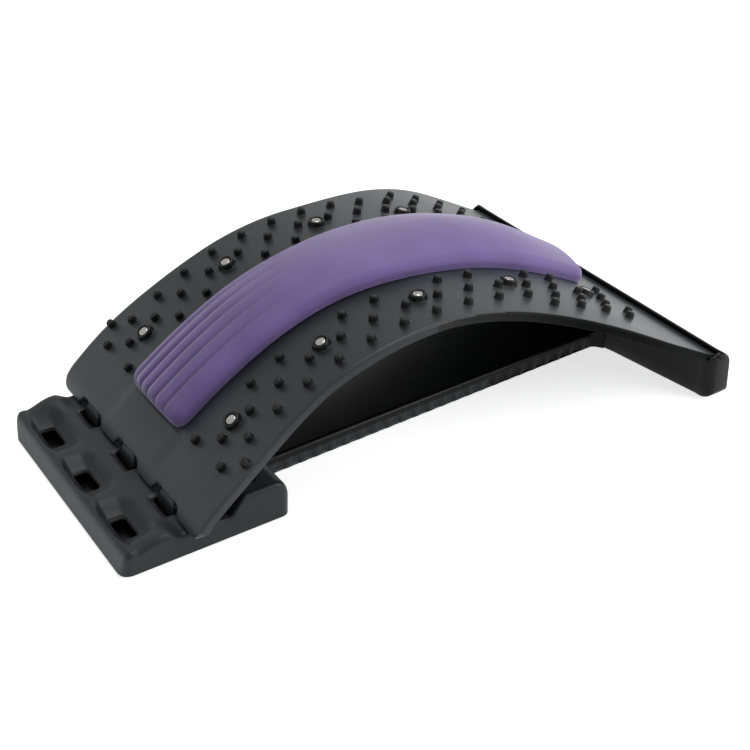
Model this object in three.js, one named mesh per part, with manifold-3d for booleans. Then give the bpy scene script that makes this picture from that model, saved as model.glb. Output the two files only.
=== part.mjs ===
// Arched back stretcher: a slotted base board, a springy arch board with moulded massage
// points, a soft spine pad, ten magnets and four rubber feet.
// Millimetres, +Z up. X runs along the length, from the slotted end to the lip end.
// The origin is on the floor, under the middle of the board.

import * as THREE from 'three';
import { mergeVertices } from 'three/addons/utils/BufferGeometryUtils.js';
import Module from 'manifold-3d';

const wasm = await Module();
wasm.setup();

// Fits and overruns
const restGap = 0.3; // between pieces that rest on each other
const slideGap = 0.6; // beside pieces that slip past each other
const overrun = 5; // how far a cutter runs past what it cuts

// Arch board: its top line, from the tongue tips to the bead
const tongueLead = 10; // straight start of a tongue, in its slot
const tongueAngle = 70; // degrees, how steeply a tongue enters its slot
const tongueBend = 30;
const shoulderAngle = 40.2; // degrees
const shoulderRadius = 350;
const crestLeftAngle = 27.3; // degrees
const crestLeftRadius = 183;
const crestRightRadius = 227;
const crestRightAngle = -19.5; // degrees
const fallRadius = 310;
const rampAngle = -30; // degrees
const rampLength = 56.4;

// Arch board: its plate
const plateThickness = 3;
const waistHalf = 87.6; // half width at the narrowest place, near the crest
const tongueEndHalf = 94.3;
const lipEndHalf = 124;
const narrowEnd = 3; // rows from the crest to where the tongue end starts to widen
const tongueWidening = 4; // rows over which it widens
const lipWidening = 7.4; // rows over which the lip end widens
const flangeDepth = 5.5; // from the top face to the rim of the down-turned edge
const flangeWidth = 2.6;
const edgeRound = 1.2;
const cornerRound = 8; // at the outer corners of the tongue end
const lipCornerRound = 6;
const tongueWidth = 18;
const tongueReach = 12.4; // how far the tongues pass the edge between them, along the top line
const tongueRound = 7;
const shoulderRoom = 8; // past the edge between the tongues, where the plate clears the tray
const panelHalf = 31; // raised panel between the pad and the tongues
const panelRise = 1.6;
const panelSide = 4;
const beadRadius = 2.2;

// Massage points and magnets
const rowPitch = 21.25; // between like rows, along the top line
const rowShift = 5.5; // from the crest to the middle magnet row
const rowsEachSide = 7;
const magnetStep = 3; // every third row holds a magnet on each side
const innerColumn = 45;
const middleColumn = 61;
const outerColumn = 76;
const edgeColumn = 88;
const edgeColumnRoom = 28; // plate needed past the outer column for one more point
const pointHeight = 5.6;
const pointBase = 3.4;
const pointTip = 2.7;
const pointDome = 1.4;
const pointSink = 0.8;
const magnetColumn = 57;
const cupRadius = 5.8;
const cupRise = 4;
const cupWall = 1.7;
const cupDepth = 2.4;
const magnetThickness = 3.4;
const magnetDome = 0.9;

// Spine pad
const padStart = -143; // from the crest, along the top line
const padEnd = 157;
const padHalf = 30.5;
const padSide = 8;
const padCrown = 5;
const padCorner = 9;
const padGrooves = 5;
const grooveDepth = 1.5;
const grooveFade = 120; // how far the grooves run before they fade out
const padSteps = 16;

// Base board
const baseLeft = -191.5;
const baseLift = 1; // the rubber feet hold the base off the floor
const traySkin = 14.5; // tray top above the base's underside
const trayLean = 4.5; // how far the end face leans in
const trayRim = 5.9;
const trayBrow = 2.4; // how far the rounding of the rim reaches above the tray
const slotPitch = 24.7;
const slotRows = 3;
const seatedRow = 1;
const slotLength = 14;
const slotWidth = 24;
const slotSpacing = 52;
const slotDepth = 9.5;
const slotLean = 1.4; // the loaded wall leans out by this much over its depth
const footHalf = 84.5;
const footRound = 9;
const beamGap = 2; // from the last slot row to the cross beam
const beamSlope = 6;
const beamRise = 11.5; // beam top above the tray
const beamLength = 25;
const beamShoulder = 12; // how far the beam's right face curves in at its top
const beamLean = 2;
const beamCorner = 5; // seen from above
const cheekWidth = 10;
const cheekReach = 12; // how far the cheeks start ahead of the beam
const cheekSteep = 0.55; // share of that reach over which they climb
const waistRise = 11.5;
const waistStartHalf = 43;
const waistEndHalf = 37;
const waistFillet = 6;
const skirtRibPitch = 10;
const skirtRibWidth = 3;
const skirtRibRise = 0.9;
const drawTaper = 0.045; // the sides lean in by this share towards the floor

// Lip bar
const barDepthMiddle = 19; // from the bead back to the bar's inner face, at the waist
const barDepthEnd = 7.4;
const barEndHalf = 127;
const barEndRound = 10;
const barFlareStart = 44;
const barFlareEnd = 116;
const plateRest = 0.8; // under the ramp of the arch board
const lipOverhang = 0.8; // the lip's edge lies this far past the bead's centre
const lipThickness = 3.2;
const lipNose = 1.6;
const lipWidth = 9.4;
const lipDrop = 5.4; // the lip's top falls away to the outer face
const lipRound = 3;

// Underside
const skin = 2.5;
const ribWidth = 2;
const beamCells = 6;
const beamCeiling = 8; // from the cells' tops to the beam's top
const waistCells = 7;
const barCell = 18;
const barCellRows = 4;
const rubberRadius = 6;
const rubberInset = 13;
const rubberSeat = 0.6;
const rubberEdge = 0.3;
const barRubberRadius = 4.5;
const barRubberInset = 22; // from the bar's end

// Facet counts
const stations = 36;
const pointFacets = 7;
const roundFacets = 16;
const curveSteps = 6;

const degrees = Math.PI / 180;

// Shapes and solids

function solid(geometry) {
  const plain = geometry.index ? geometry.clone() : geometry;
  plain.deleteAttribute('normal');
  plain.deleteAttribute('uv');
  const merged = mergeVertices(plain, 1e-4);
  const triVerts = [];
  const index = merged.index.array;
  for (let i = 0; i < index.length; i += 3) {
    const [a, b, c] = [index[i], index[i + 1], index[i + 2]];
    if (a !== b && b !== c && c !== a) triVerts.push(a, b, c);
  }
  return new wasm.Manifold(new wasm.Mesh({
    numProp: 3,
    vertProperties: new Float32Array(merged.attributes.position.array),
    triVerts: new Uint32Array(triVerts),
  }));
}

function geometryOf(manifold) {
  const mesh = manifold.getMesh();
  const geometry = new THREE.BufferGeometry();
  geometry.setAttribute('position', new THREE.BufferAttribute(new Float32Array(mesh.vertProperties), 3));
  geometry.setIndex(new THREE.BufferAttribute(new Uint32Array(mesh.triVerts), 1));
  geometry.computeVertexNormals();
  return geometry;
}

function points(pairs) {
  return pairs.map(([a, b]) => new THREE.Vector2(a, b));
}

// A plan outline pushed up along Z.
function upright(shape, low, high) {
  const geometry = new THREE.ExtrudeGeometry(shape, { depth: high - low, bevelEnabled: false });
  geometry.translate(0, 0, low);
  return geometry;
}

// A side outline, drawn in X and Z, pushed across along Y.
function crosswise(shape, low, high) {
  const geometry = new THREE.ExtrudeGeometry(shape, { depth: high - low, bevelEnabled: false });
  geometry.rotateX(Math.PI / 2);
  geometry.translate(0, high, 0);
  return geometry;
}

function block(x0, x1, y0, y1, z0, z1) {
  const geometry = new THREE.BoxGeometry(x1 - x0, y1 - y0, z1 - z0);
  geometry.translate((x0 + x1) / 2, (y0 + y1) / 2, (z0 + z1) / 2);
  return solid(geometry);
}

// A turned piece that stands along Z.
function turned(profile, facets) {
  const geometry = new THREE.LatheGeometry(points(profile), facets);
  geometry.rotateX(Math.PI / 2);
  return geometry;
}

function smooth(share) {
  const t = Math.min(Math.max(share, 0), 1);
  return t * t * (3 - 2 * t);
}

// The arch board's top line

const slotFloor = baseLift + traySkin - slotDepth;
const trayTop = baseLift + traySkin;

function rowWall(row) {
  return baseLeft + trayLean + trayRim - slotLean + row * slotPitch;
}

const tipCornerDrop = plateThickness * Math.cos(tongueAngle * degrees);
const tipZ = slotFloor + restGap + tipCornerDrop;
const tipWallShare = (tipZ - slotFloor) / slotDepth;
const tipX = rowWall(seatedRow) + slotLean * (1 - tipWallShare) + restGap;

const topLine = [
  { length: tongueLead, from: tongueAngle, to: tongueAngle },
  { radius: tongueBend, from: tongueAngle, to: shoulderAngle },
  { radius: shoulderRadius, from: shoulderAngle, to: crestLeftAngle },
  { radius: crestLeftRadius, from: crestLeftAngle, to: 0 },
  { radius: crestRightRadius, from: 0, to: crestRightAngle },
  { radius: fallRadius, from: crestRightAngle, to: rampAngle },
  { length: rampLength, from: rampAngle, to: rampAngle },
];

let walked = 0;
let walkX = tipX;
let walkZ = tipZ;
for (const piece of topLine) {
  const from = piece.from * degrees;
  const to = piece.to * degrees;
  piece.length = piece.length ?? piece.radius * (from - to);
  piece.start = walked;
  piece.x = walkX;
  piece.z = walkZ;
  walked += piece.length;
  if (piece.radius) {
    walkX += piece.radius * (Math.sin(from) - Math.sin(to));
    walkZ += piece.radius * (Math.cos(to) - Math.cos(from));
  } else {
    walkX += piece.length * Math.cos(from);
    walkZ += piece.length * Math.sin(from);
  }
}
const lineLength = walked;
const crestAt = topLine[4].start;

// The place, slope and height over the plate of one spot on the top line.
function onLine(along, height = 0) {
  let piece = topLine[0];
  for (const next of topLine) {
    if (along >= next.start) piece = next;
  }
  const run = along - piece.start;
  const from = piece.from * degrees;
  const angle = piece.radius ? from - run / piece.radius : from;
  let x = piece.x + run * Math.cos(from);
  let z = piece.z + run * Math.sin(from);
  if (piece.radius) {
    x = piece.x + piece.radius * (Math.sin(from) - Math.sin(angle));
    z = piece.z + piece.radius * (Math.cos(angle) - Math.cos(from));
  }
  return { x: x - height * Math.sin(angle), z: z + height * Math.cos(angle), angle };
}

function halfWidth(along) {
  const leftShare = (crestAt - rowPitch * narrowEnd - along) / (rowPitch * tongueWidening);
  const rightShare = (along - crestAt) / (rowPitch * lipWidening);
  const left = (tongueEndHalf - waistHalf) * smooth(leftShare);
  const right = (lipEndHalf - waistHalf) * smooth(rightShare);
  return waistHalf + left + right;
}

// A closed sheet over the top line: rows along it, columns across it.
function sheet(rows, columns, topOf, bottomOf) {
  const position = [];
  const index = [];
  const width = columns;
  for (const side of [topOf, bottomOf]) {
    for (const along of rows) {
      for (let column = 0; column < width; column += 1) {
        const { y, height } = side(along, column);
        const { x, z } = onLine(along, height);
        position.push(x, y, z);
      }
    }
  }
  const layer = rows.length * width;
  const quad = (a, b, c, d) => index.push(a, b, c, a, c, d);
  for (let row = 0; row < rows.length - 1; row += 1) {
    for (let column = 0; column < width - 1; column += 1) {
      const a = row * width + column;
      quad(a, a + width, a + width + 1, a + 1);
      quad(layer + a, layer + a + 1, layer + a + width + 1, layer + a + width);
    }
    const near = row * width;
    const far = near + width - 1;
    quad(near, layer + near, layer + near + width, near + width);
    quad(far, far + width, layer + far + width, layer + far);
  }
  const last = (rows.length - 1) * width;
  for (let column = 0; column < width - 1; column += 1) {
    quad(column, column + 1, layer + column + 1, layer + column);
    quad(last + column, layer + last + column, layer + last + column + 1, last + column + 1);
  }
  const geometry = new THREE.BufferGeometry();
  geometry.setAttribute('position', new THREE.Float32BufferAttribute(position, 3));
  geometry.setIndex(index);
  return geometry;
}

// Places a piece that stands along Z on the top line, square to the plate.
function seatOnLine(geometry, along, y, height) {
  const { x, z, angle } = onLine(along, height);
  return geometry.clone().rotateY(-angle).translate(x, y, z);
}

// Arch board

const panelEnd = crestAt + padStart - slideGap;

function archPlate() {
  const rows = [];
  for (let step = 0; step <= stations; step += 1) rows.push(lineLength * step / stations);
  const stepRows = [tongueLead + tongueReach, panelEnd - panelRise, panelEnd, panelEnd + slideGap];
  const all = [...rows, ...stepRows].sort((a, b) => a - b);
  const flangeEnd = lineLength - barDepthMiddle;
  const flangeAt = (along) => {
    const leftShare = (along - tongueLead - tongueReach) / tongueEndHalf;
    const rightShare = (flangeEnd - along) / barDepthMiddle;
    const depth = flangeDepth - plateThickness;
    return plateThickness + depth * Math.min(smooth(leftShare * 3), smooth(rightShare));
  };
  const panelAt = (along) => {
    const leftShare = (along - tongueLead) / tongueReach;
    return along < panelEnd + slideGap / 2 ? panelRise * smooth(leftShare) : 0;
  };
  const columnsOf = (along) => {
    const half = halfWidth(along);
    const rise = panelAt(along);
    const flange = flangeAt(along);
    const right = [
      [panelHalf - panelSide, rise, plateThickness],
      [panelHalf, 0, plateThickness],
      [half - flangeWidth - edgeRound, 0, plateThickness],
      [half - flangeWidth, 0, flange],
      [half - edgeRound, 0, flange],
      [half - edgeRound * 0.3, -edgeRound * 0.3, flange],
      [half, -edgeRound, flange - edgeRound / 2],
    ];
    const left = right.map(([y, top, under]) => [-y, top, under]).reverse();
    return [...left, ...right];
  };
  const width = columnsOf(0).length;
  const top = (along, column) => {
    const [y, height] = columnsOf(along)[column];
    return { y, height };
  };
  const bottom = (along, column) => {
    const [y, , under] = columnsOf(along)[column];
    return { y, height: -under };
  };
  return solid(sheet(all, width, top, bottom));
}

// What is trimmed off the tongue end, seen from above: the bays between the tongues and the
// rounded outer corners.
function tongueTrim() {
  const edge = onLine(tongueReach);
  const far = tipX - overrun;
  const half = halfWidth(0) + overrun;
  const outer = halfWidth(tongueReach);
  const trim = [];
  const bay = (low, high) => {
    const shape = new THREE.Shape();
    shape.moveTo(far, low);
    shape.lineTo(edge.x - tongueRound, low);
    shape.quadraticCurveTo(edge.x, low, edge.x, low + tongueRound);
    shape.lineTo(edge.x, high - tongueRound);
    shape.quadraticCurveTo(edge.x, high, edge.x - tongueRound, high);
    shape.lineTo(far, high);
    shape.closePath();
    return solid(new THREE.ExtrudeGeometry(shape, {
      depth: trayTop * 4,
      bevelEnabled: false,
      curveSegments: curveSteps,
    }));
  };
  const low = tongueWidth / 2;
  const high = slotSpacing - tongueWidth / 2;
  trim.push(bay(low, high), bay(-high, -low));
  const start = slotSpacing + tongueWidth / 2;
  const trayClear = trayTop + slideGap;
  for (const [y0, y1] of [[low, high], [-high, -low], [start, half], [-half, -start]]) {
    trim.push(block(far, edge.x + shoulderRoom, y0, y1, 0, trayClear));
  }
  for (const side of [-1, 1]) {
    const shape = new THREE.Shape();
    shape.moveTo(far, side * start);
    shape.lineTo(edge.x - tongueRound, side * start);
    shape.quadraticCurveTo(edge.x, side * start, edge.x, side * (start + tongueRound));
    shape.lineTo(edge.x, side * (outer - cornerRound));
    shape.quadraticCurveTo(edge.x, side * outer, edge.x + cornerRound, side * outer);
    shape.lineTo(edge.x + cornerRound, side * half);
    shape.lineTo(far, side * half);
    shape.closePath();
    trim.push(solid(new THREE.ExtrudeGeometry(shape, {
      depth: trayTop * 4,
      bevelEnabled: false,
      curveSegments: curveSteps,
    })));
  }
  return trim;
}

function lipCornerTrim() {
  const end = onLine(lineLength);
  return [-1, 1].map((side) => {
    const shape = new THREE.Shape();
    shape.moveTo(end.x + overrun, side * (lipEndHalf + overrun));
    shape.lineTo(end.x - lipCornerRound, side * (lipEndHalf + overrun));
    shape.lineTo(end.x - lipCornerRound, side * lipEndHalf);
    shape.quadraticCurveTo(end.x, side * lipEndHalf, end.x, side * (lipEndHalf - lipCornerRound));
    shape.lineTo(end.x + overrun, side * (lipEndHalf - lipCornerRound));
    shape.closePath();
    return solid(upright(shape, 0, end.z + overrun));
  });
}

const beadCentre = onLine(lineLength, -plateThickness / 2);

function bead() {
  const length = (lipEndHalf - lipCornerRound) * 2;
  const geometry = new THREE.CylinderGeometry(beadRadius, beadRadius, length, roundFacets);
  geometry.translate(beadCentre.x, 0, beadCentre.z);
  return solid(geometry);
}

function massagePoint() {
  return turned([
    [0, -pointSink],
    [pointBase, -pointSink],
    [pointTip, pointHeight - pointDome],
    [pointTip * 0.6, pointHeight - pointDome * 0.25],
    [0, pointHeight],
  ], pointFacets);
}

function massagePlaces() {
  const places = [];
  for (let row = -rowsEachSide; row <= rowsEachSide; row += 1) {
    const along = crestAt + rowShift + row * rowPitch;
    if (row % magnetStep) places.push([along, innerColumn]);
    places.push([along, outerColumn]);
    if (row === rowsEachSide) continue;
    const between = along + rowPitch / 2;
    places.push([between, middleColumn]);
    const room = halfWidth(between) - outerColumn;
    if (row === -rowsEachSide || room > edgeColumnRoom) places.push([between, edgeColumn]);
  }
  return places.flatMap(([along, y]) => [[along, y], [along, -y]]);
}

function magnetPlaces() {
  const places = [];
  const reach = Math.floor(rowsEachSide / magnetStep);
  for (let step = -reach; step <= reach; step += 1) {
    places.push(crestAt + rowShift + step * magnetStep * rowPitch);
  }
  return places;
}

function cup() {
  return turned([
    [0, -pointSink],
    [cupRadius + cupWall / 2, -pointSink],
    [cupRadius, cupRise],
    [0, cupRise],
  ], roundFacets);
}

function cupRecess() {
  const radius = cupRadius - cupWall;
  return turned([
    [0, cupRise - cupDepth],
    [radius, cupRise - cupDepth],
    [radius, cupRise + overrun],
    [0, cupRise + overrun],
  ], roundFacets);
}

function archBoard() {
  let board = archPlate();
  for (const cutter of [...tongueTrim(), ...lipCornerTrim()]) board = board.subtract(cutter);
  const added = [bead()];
  const point = massagePoint();
  for (const [along, y] of massagePlaces()) added.push(solid(seatOnLine(point, along, y, 0)));
  const cupShape = cup();
  const recess = cupRecess();
  const recesses = [];
  for (const along of magnetPlaces()) {
    for (const y of [-magnetColumn, magnetColumn]) {
      added.push(solid(seatOnLine(cupShape, along, y, 0)));
      recesses.push(solid(seatOnLine(recess, along, y, 0)));
    }
  }
  board = wasm.Manifold.union([board, ...added]);
  return geometryOf(board.subtract(wasm.Manifold.union(recesses)));
}

// Spine pad

function padGeometry() {
  const start = crestAt + padStart;
  const end = crestAt + padEnd;
  const endShares = [0, 0.1, 0.3, 0.6];
  const rows = endShares.map((share) => start + padCorner * share);
  const spanStart = start + padCorner;
  const span = end - start - padCorner * 2;
  for (let step = 0; step <= padSteps; step += 1) rows.push(spanStart + span * step / padSteps);
  for (const share of [...endShares].reverse()) rows.push(end - padCorner * share);
  const columnShares = [];
  const groovePlaces = padGrooves * 4;
  for (let step = 0; step <= groovePlaces; step += 1) {
    columnShares.push(-0.86 + 1.72 * step / groovePlaces);
  }
  const shares = [-1, -0.95, ...columnShares, 0.95, 1];
  const endRound = (along) => {
    const room = Math.min(along - start, end - along);
    const inside = Math.max(padCorner - room, 0);
    return padCorner - Math.sqrt(Math.max(padCorner ** 2 - inside ** 2, 0));
  };
  const halfAt = (along) => padHalf - endRound(along);
  const top = (along, column) => {
    const share = shares[column];
    const half = halfAt(along);
    const ends = Math.min(along - start, end - along);
    const endShare = Math.sqrt(1 - (1 - Math.min(ends / padCorner, 1)) ** 2);
    const edgeShare = Math.sqrt(Math.max(1 - ((Math.abs(share) - 0.86) / 0.14) ** 2, 0));
    const sideRise = padSide * (Math.abs(share) > 0.86 ? 0.35 + 0.65 * edgeShare : 1);
    const crown = padCrown * (1 - share * share);
    const fade = 1 - smooth((along - start) / grooveFade);
    const wave = (1 - Math.cos(share / 0.86 * padGrooves * Math.PI)) / 2;
    const groove = Math.abs(share) < 0.86 ? grooveDepth * fade * wave : 0;
    const height = (sideRise + crown - groove) * (0.45 + 0.55 * endShare);
    return { y: share * half, height: restGap + height };
  };
  const bottom = (along, column) => ({ y: shares[column] * halfAt(along) * 0.98, height: restGap });
  return sheet(rows, shares.length, top, bottom);
}

// Magnet, a domed disc

function magnetGeometry() {
  const radius = cupRadius - cupWall - restGap;
  const seat = cupRise - cupDepth + restGap;
  const crown = seat + magnetThickness;
  return turned([
    [0, seat],
    [radius, seat],
    [radius, crown - magnetDome],
    [radius * 0.7, crown - magnetDome * 0.3],
    [0, crown],
  ], roundFacets);
}

// Base board

const barOuter = beadCentre.x + lipWidth;
const waistTop = baseLift + waistRise;
const beamLeft = rowWall(slotRows - 1) + slotLength + beamGap + slotLean;
const beamRight = beamLeft + beamLength;
const beamTop = trayTop + beamRise;
const barInner = beadCentre.x - barDepthMiddle;
const rampDown = rampAngle * degrees;
const waistSpan = barInner - beamRight - waistFillet * 2;

function waistHalfAt(x) {
  const share = (x - beamRight) / (barInner - beamRight);
  return waistStartHalf + (waistEndHalf - waistStartHalf) * share;
}

// The front half of the base's outline from above. The back half mirrors it.
function planOutline() {
  const barEndInner = beadCentre.x - barDepthEnd;
  const path = new THREE.Path();
  path.moveTo(baseLeft, -(footHalf - footRound));
  path.quadraticCurveTo(baseLeft, -footHalf, baseLeft + footRound, -footHalf);
  path.lineTo(beamRight - beamCorner, -footHalf);
  path.quadraticCurveTo(beamRight, -footHalf, beamRight, -(footHalf - beamCorner));
  const waistStart = waistHalfAt(beamRight + waistFillet);
  path.lineTo(beamRight, -(waistStart + waistFillet));
  path.quadraticCurveTo(beamRight, -waistStart, beamRight + waistFillet, -waistStart);
  const ribs = Math.floor(waistSpan / skirtRibPitch);
  for (let rib = 0; rib < ribs; rib += 1) {
    const x = beamRight + waistFillet + (rib + 0.5) * skirtRibPitch;
    const half = waistHalfAt(x);
    path.lineTo(x - skirtRibWidth / 2, -half);
    path.lineTo(x - skirtRibWidth / 4, -(half + skirtRibRise));
    path.lineTo(x + skirtRibWidth / 4, -(half + skirtRibRise));
    path.lineTo(x + skirtRibWidth / 2, -half);
  }
  const waistEnd = waistHalfAt(barInner - waistFillet);
  path.lineTo(barInner - waistFillet, -waistEnd);
  path.quadraticCurveTo(barInner, -waistEnd, barInner + waistFillet / 3, -(barFlareStart + waistFillet));
  path.lineTo(barEndInner, -barFlareEnd);
  path.quadraticCurveTo(barEndInner + barEndRound / 3, -barEndHalf, barOuter - barEndRound / 3, -barEndHalf);
  path.quadraticCurveTo(barOuter, -barEndHalf, barOuter, -(barEndHalf - barEndRound / 2));
  const front = path.getPoints(curveSteps);
  const back = front.map((point) => new THREE.Vector2(point.x, -point.y)).reverse();
  return new THREE.Shape([...front, ...back]);
}

// The height of the ramp line that runs at a set distance under the plate's middle.
function underRamp(x, distance) {
  const run = x - beadCentre.x;
  return beadCentre.z + run * Math.tan(rampDown) - distance / Math.cos(rampDown);
}

// The base seen from the side, with the lip bar still filled.
function sideOutline() {
  const lipEdge = beadCentre.x + lipOverhang;
  const lipUnder = beadCentre.z + beadRadius + restGap;
  const lipTop = lipUnder + lipThickness;
  const shape = new THREE.Shape();
  shape.moveTo(baseLeft, baseLift);
  shape.lineTo(baseLeft + trayLean * 0.7, trayTop - trayLean * 0.3);
  shape.quadraticCurveTo(baseLeft + trayLean, trayTop + trayBrow, rowWall(0) - slotLean, trayTop);
  shape.lineTo(beamLeft, trayTop);
  shape.quadraticCurveTo(beamLeft + beamSlope / 2, beamTop, beamLeft + beamSlope * 2, beamTop);
  shape.lineTo(beamRight - beamShoulder, beamTop);
  shape.quadraticCurveTo(beamRight - beamLean, beamTop, beamRight, waistTop);
  shape.lineTo(barInner - waistFillet, waistTop);
  shape.quadraticCurveTo(barInner, waistTop, barInner, waistTop + waistFillet);
  shape.lineTo(barInner, underRamp(barInner, 0));
  shape.lineTo(beadCentre.x, beadCentre.z);
  shape.lineTo(lipEdge, lipTop - lipNose / 2);
  shape.quadraticCurveTo(lipEdge, lipTop, lipEdge + lipNose, lipTop - lipDrop / 8);
  shape.lineTo(barOuter - lipRound, lipTop - lipDrop + lipRound / 2);
  shape.quadraticCurveTo(barOuter, lipTop - lipDrop, barOuter, lipTop - lipDrop - lipRound);
  shape.lineTo(barOuter, baseLift);
  shape.closePath();
  return new THREE.Shape(shape.getPoints(curveSteps));
}

// The channel that holds the bead, and the room for the ramp of the arch board over the bar.
function channelOutline() {
  const radius = beadRadius + restGap;
  const under = plateThickness / 2 + plateRest;
  const overhangAngle = Math.acos(lipOverhang / radius);
  const startAngle = Math.PI - rampDown * -1 + Math.asin(under / radius);
  const shape = new THREE.Shape();
  const startX = barInner - overrun;
  const skyZ = underRamp(startX, -plateThickness - overrun);
  shape.moveTo(startX, underRamp(startX, under));
  const entryX = beadCentre.x + radius * Math.cos(startAngle);
  const entryZ = beadCentre.z + radius * Math.sin(startAngle);
  shape.lineTo(entryX, entryZ);
  const sweep = 2 * Math.PI + overhangAngle - startAngle;
  for (let step = 1; step <= roundFacets; step += 1) {
    const angle = startAngle + sweep * step / roundFacets;
    shape.lineTo(beadCentre.x + radius * Math.cos(angle), beadCentre.z + radius * Math.sin(angle));
  }
  shape.lineTo(beadCentre.x + lipOverhang, skyZ);
  shape.lineTo(startX, skyZ);
  shape.closePath();
  return shape;
}

function slotOutline(row) {
  const wall = rowWall(row);
  const shape = new THREE.Shape();
  shape.moveTo(wall + slotLean, slotFloor);
  shape.lineTo(wall + slotLean + slotLength, slotFloor);
  shape.lineTo(wall + slotLean + slotLength, trayTop + slotDepth);
  shape.lineTo(wall - slotLean, trayTop + slotDepth);
  shape.closePath();
  return shape;
}

function slotCutters() {
  const cutters = [];
  for (let row = 0; row < slotRows; row += 1) {
    const shape = slotOutline(row);
    for (const y of [-slotSpacing, 0, slotSpacing]) {
      cutters.push(solid(crosswise(shape, y - slotWidth / 2, y + slotWidth / 2)));
    }
  }
  return cutters;
}

function cheeks() {
  const start = beamLeft - cheekReach;
  const shape = new THREE.Shape();
  shape.moveTo(start, slotFloor);
  shape.lineTo(start, trayTop);
  shape.lineTo(start + cheekReach * cheekSteep, beamTop - beamSlope / 2);
  shape.quadraticCurveTo(start + cheekReach, beamTop, beamLeft + beamSlope * 2, beamTop);
  shape.lineTo(beamLeft + beamSlope * 2, slotFloor);
  shape.closePath();
  const outline = new THREE.Shape(shape.getPoints(curveSteps));
  return [-1, 1].map((side) => {
    const inner = footHalf - cheekWidth;
    const low = side > 0 ? inner : -footHalf;
    return crosswise(outline, low, low + cheekWidth);
  });
}

// The draw taper: the sides lean in towards the floor, as a moulding needs.
function tapered(geometry) {
  const place = geometry.attributes.position;
  const height = beamTop - baseLift;
  for (let i = 0; i < place.count; i += 1) {
    const share = (place.getZ(i) - baseLift) / height;
    place.setY(i, place.getY(i) * (1 - drawTaper * (1 - share)));
  }
  return geometry;
}

// Open cells under the mouldings, with ribs between them.
function undersideCells() {
  const cells = [];
  const low = baseLift - overrun;
  const beamCellWidth = (2 * (footHalf - skin * 3) - ribWidth * (beamCells - 1)) / beamCells;
  for (let cell = 0; cell < beamCells; cell += 1) {
    const y = -(footHalf - skin * 3) + cell * (beamCellWidth + ribWidth);
    const left = beamLeft + beamSlope;
    cells.push(block(left, beamRight - skin - beamLean / 2, y, y + beamCellWidth, low, beamTop - beamCeiling));
  }
  const between = [slotWidth / 2 + ribWidth, slotSpacing - slotWidth / 2 - ribWidth];
  for (let row = 0; row < slotRows; row += 1) {
    const left = rowWall(row) + slotLean;
    for (const side of [-1, 1]) {
      const [y0, y1] = side > 0 ? between : between.map((y) => -y).reverse();
      cells.push(block(left, left + slotPitch - ribWidth * 2, y0, y1, low, trayTop - skin));
    }
  }
  const waistLeft = beamRight + ribWidth;
  const cellLength = (barInner - waistLeft - ribWidth * waistCells) / waistCells;
  for (let cell = 0; cell < waistCells; cell += 1) {
    const x = waistLeft + cell * (cellLength + ribWidth);
    for (const side of [-1, 1]) {
      const y1 = waistEndHalf * (1 - drawTaper) - skin;
      const [a, b] = side > 0 ? [ribWidth / 2, y1] : [-y1, -ribWidth / 2];
      cells.push(block(x, x + cellLength, a, b, low, waistTop - skin));
    }
  }
  const cellTop = beadCentre.z - beadRadius - restGap - skin;
  for (let row = 0; row < barCellRows; row += 1) {
    const near = ribWidth / 2 + row * (barCell + ribWidth);
    const share = (near + barCell) / barFlareEnd;
    const inner = barInner + (barDepthMiddle - barDepthEnd) * share + skin * 2;
    for (const side of [-1, 1]) {
      const [a, b] = side > 0 ? [near, near + barCell] : [-near - barCell, -near];
      cells.push(block(inner, barOuter - skin, a, b, low, cellTop));
    }
  }
  return cells;
}

const trayRubberX = baseLeft + rubberInset;
const trayRubberY = footHalf * (1 - drawTaper) - rubberInset;
const barRubberX = barOuter - (lipWidth + barDepthEnd) / 2 - ribWidth / 2;
const barRubberY = barEndHalf * (1 - drawTaper) - barRubberInset;
const rubberPlaces = [
  ['foot_left_front', trayRubberX, -trayRubberY, rubberRadius],
  ['foot_left_back', trayRubberX, trayRubberY, rubberRadius],
  ['foot_right_front', barRubberX, -barRubberY, barRubberRadius],
  ['foot_right_back', barRubberX, barRubberY, barRubberRadius],
];

function rubberRecess(x, y, radius) {
  const geometry = turned([
    [0, -baseLift],
    [radius + restGap, -baseLift],
    [radius + restGap, baseLift + rubberSeat],
    [0, baseLift + rubberSeat],
  ], roundFacets);
  return solid(geometry.translate(x, y, 0));
}

function baseBoard() {
  const plan = solid(tapered(upright(planOutline(), baseLift, beamTop * 2)));
  const wide = barEndHalf + overrun;
  let board = plan.intersect(solid(crosswise(sideOutline(), -wide, wide)));
  for (const cheek of cheeks()) board = board.add(solid(tapered(cheek)));
  const channelHalf = lipEndHalf + slideGap;
  const cutters = [
    solid(crosswise(channelOutline(), -channelHalf, channelHalf)),
    ...slotCutters(),
    ...undersideCells(),
    ...rubberPlaces.map(([, x, y, radius]) => rubberRecess(x, y, radius)),
  ];
  for (const cutter of cutters) board = board.subtract(cutter);
  return geometryOf(board);
}

function rubberFoot(radius) {
  return turned([
    [0, 0],
    [radius - rubberEdge, 0],
    [radius, rubberEdge],
    [radius, baseLift + rubberSeat - restGap],
    [0, baseLift + rubberSeat - restGap],
  ], roundFacets);
}

// The assembly

const baseFinish = { color: 0x24282a, roughness: 0.55, metalness: 0 };
const archFinish = { color: 0x3f4648, roughness: 0.6, metalness: 0 };
const padFinish = { color: 0x6b5790, roughness: 0.8, metalness: 0 };
const magnetFinish = { color: 0xc8ccd0, roughness: 0.25, metalness: 1 };
const rubberFinish = { color: 0x141414, roughness: 0.9, metalness: 0 };

function piece(name, geometry, finish) {
  const mesh = new THREE.Mesh(geometry, new THREE.MeshStandardMaterial(finish));
  mesh.name = name;
  return mesh;
}

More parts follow.
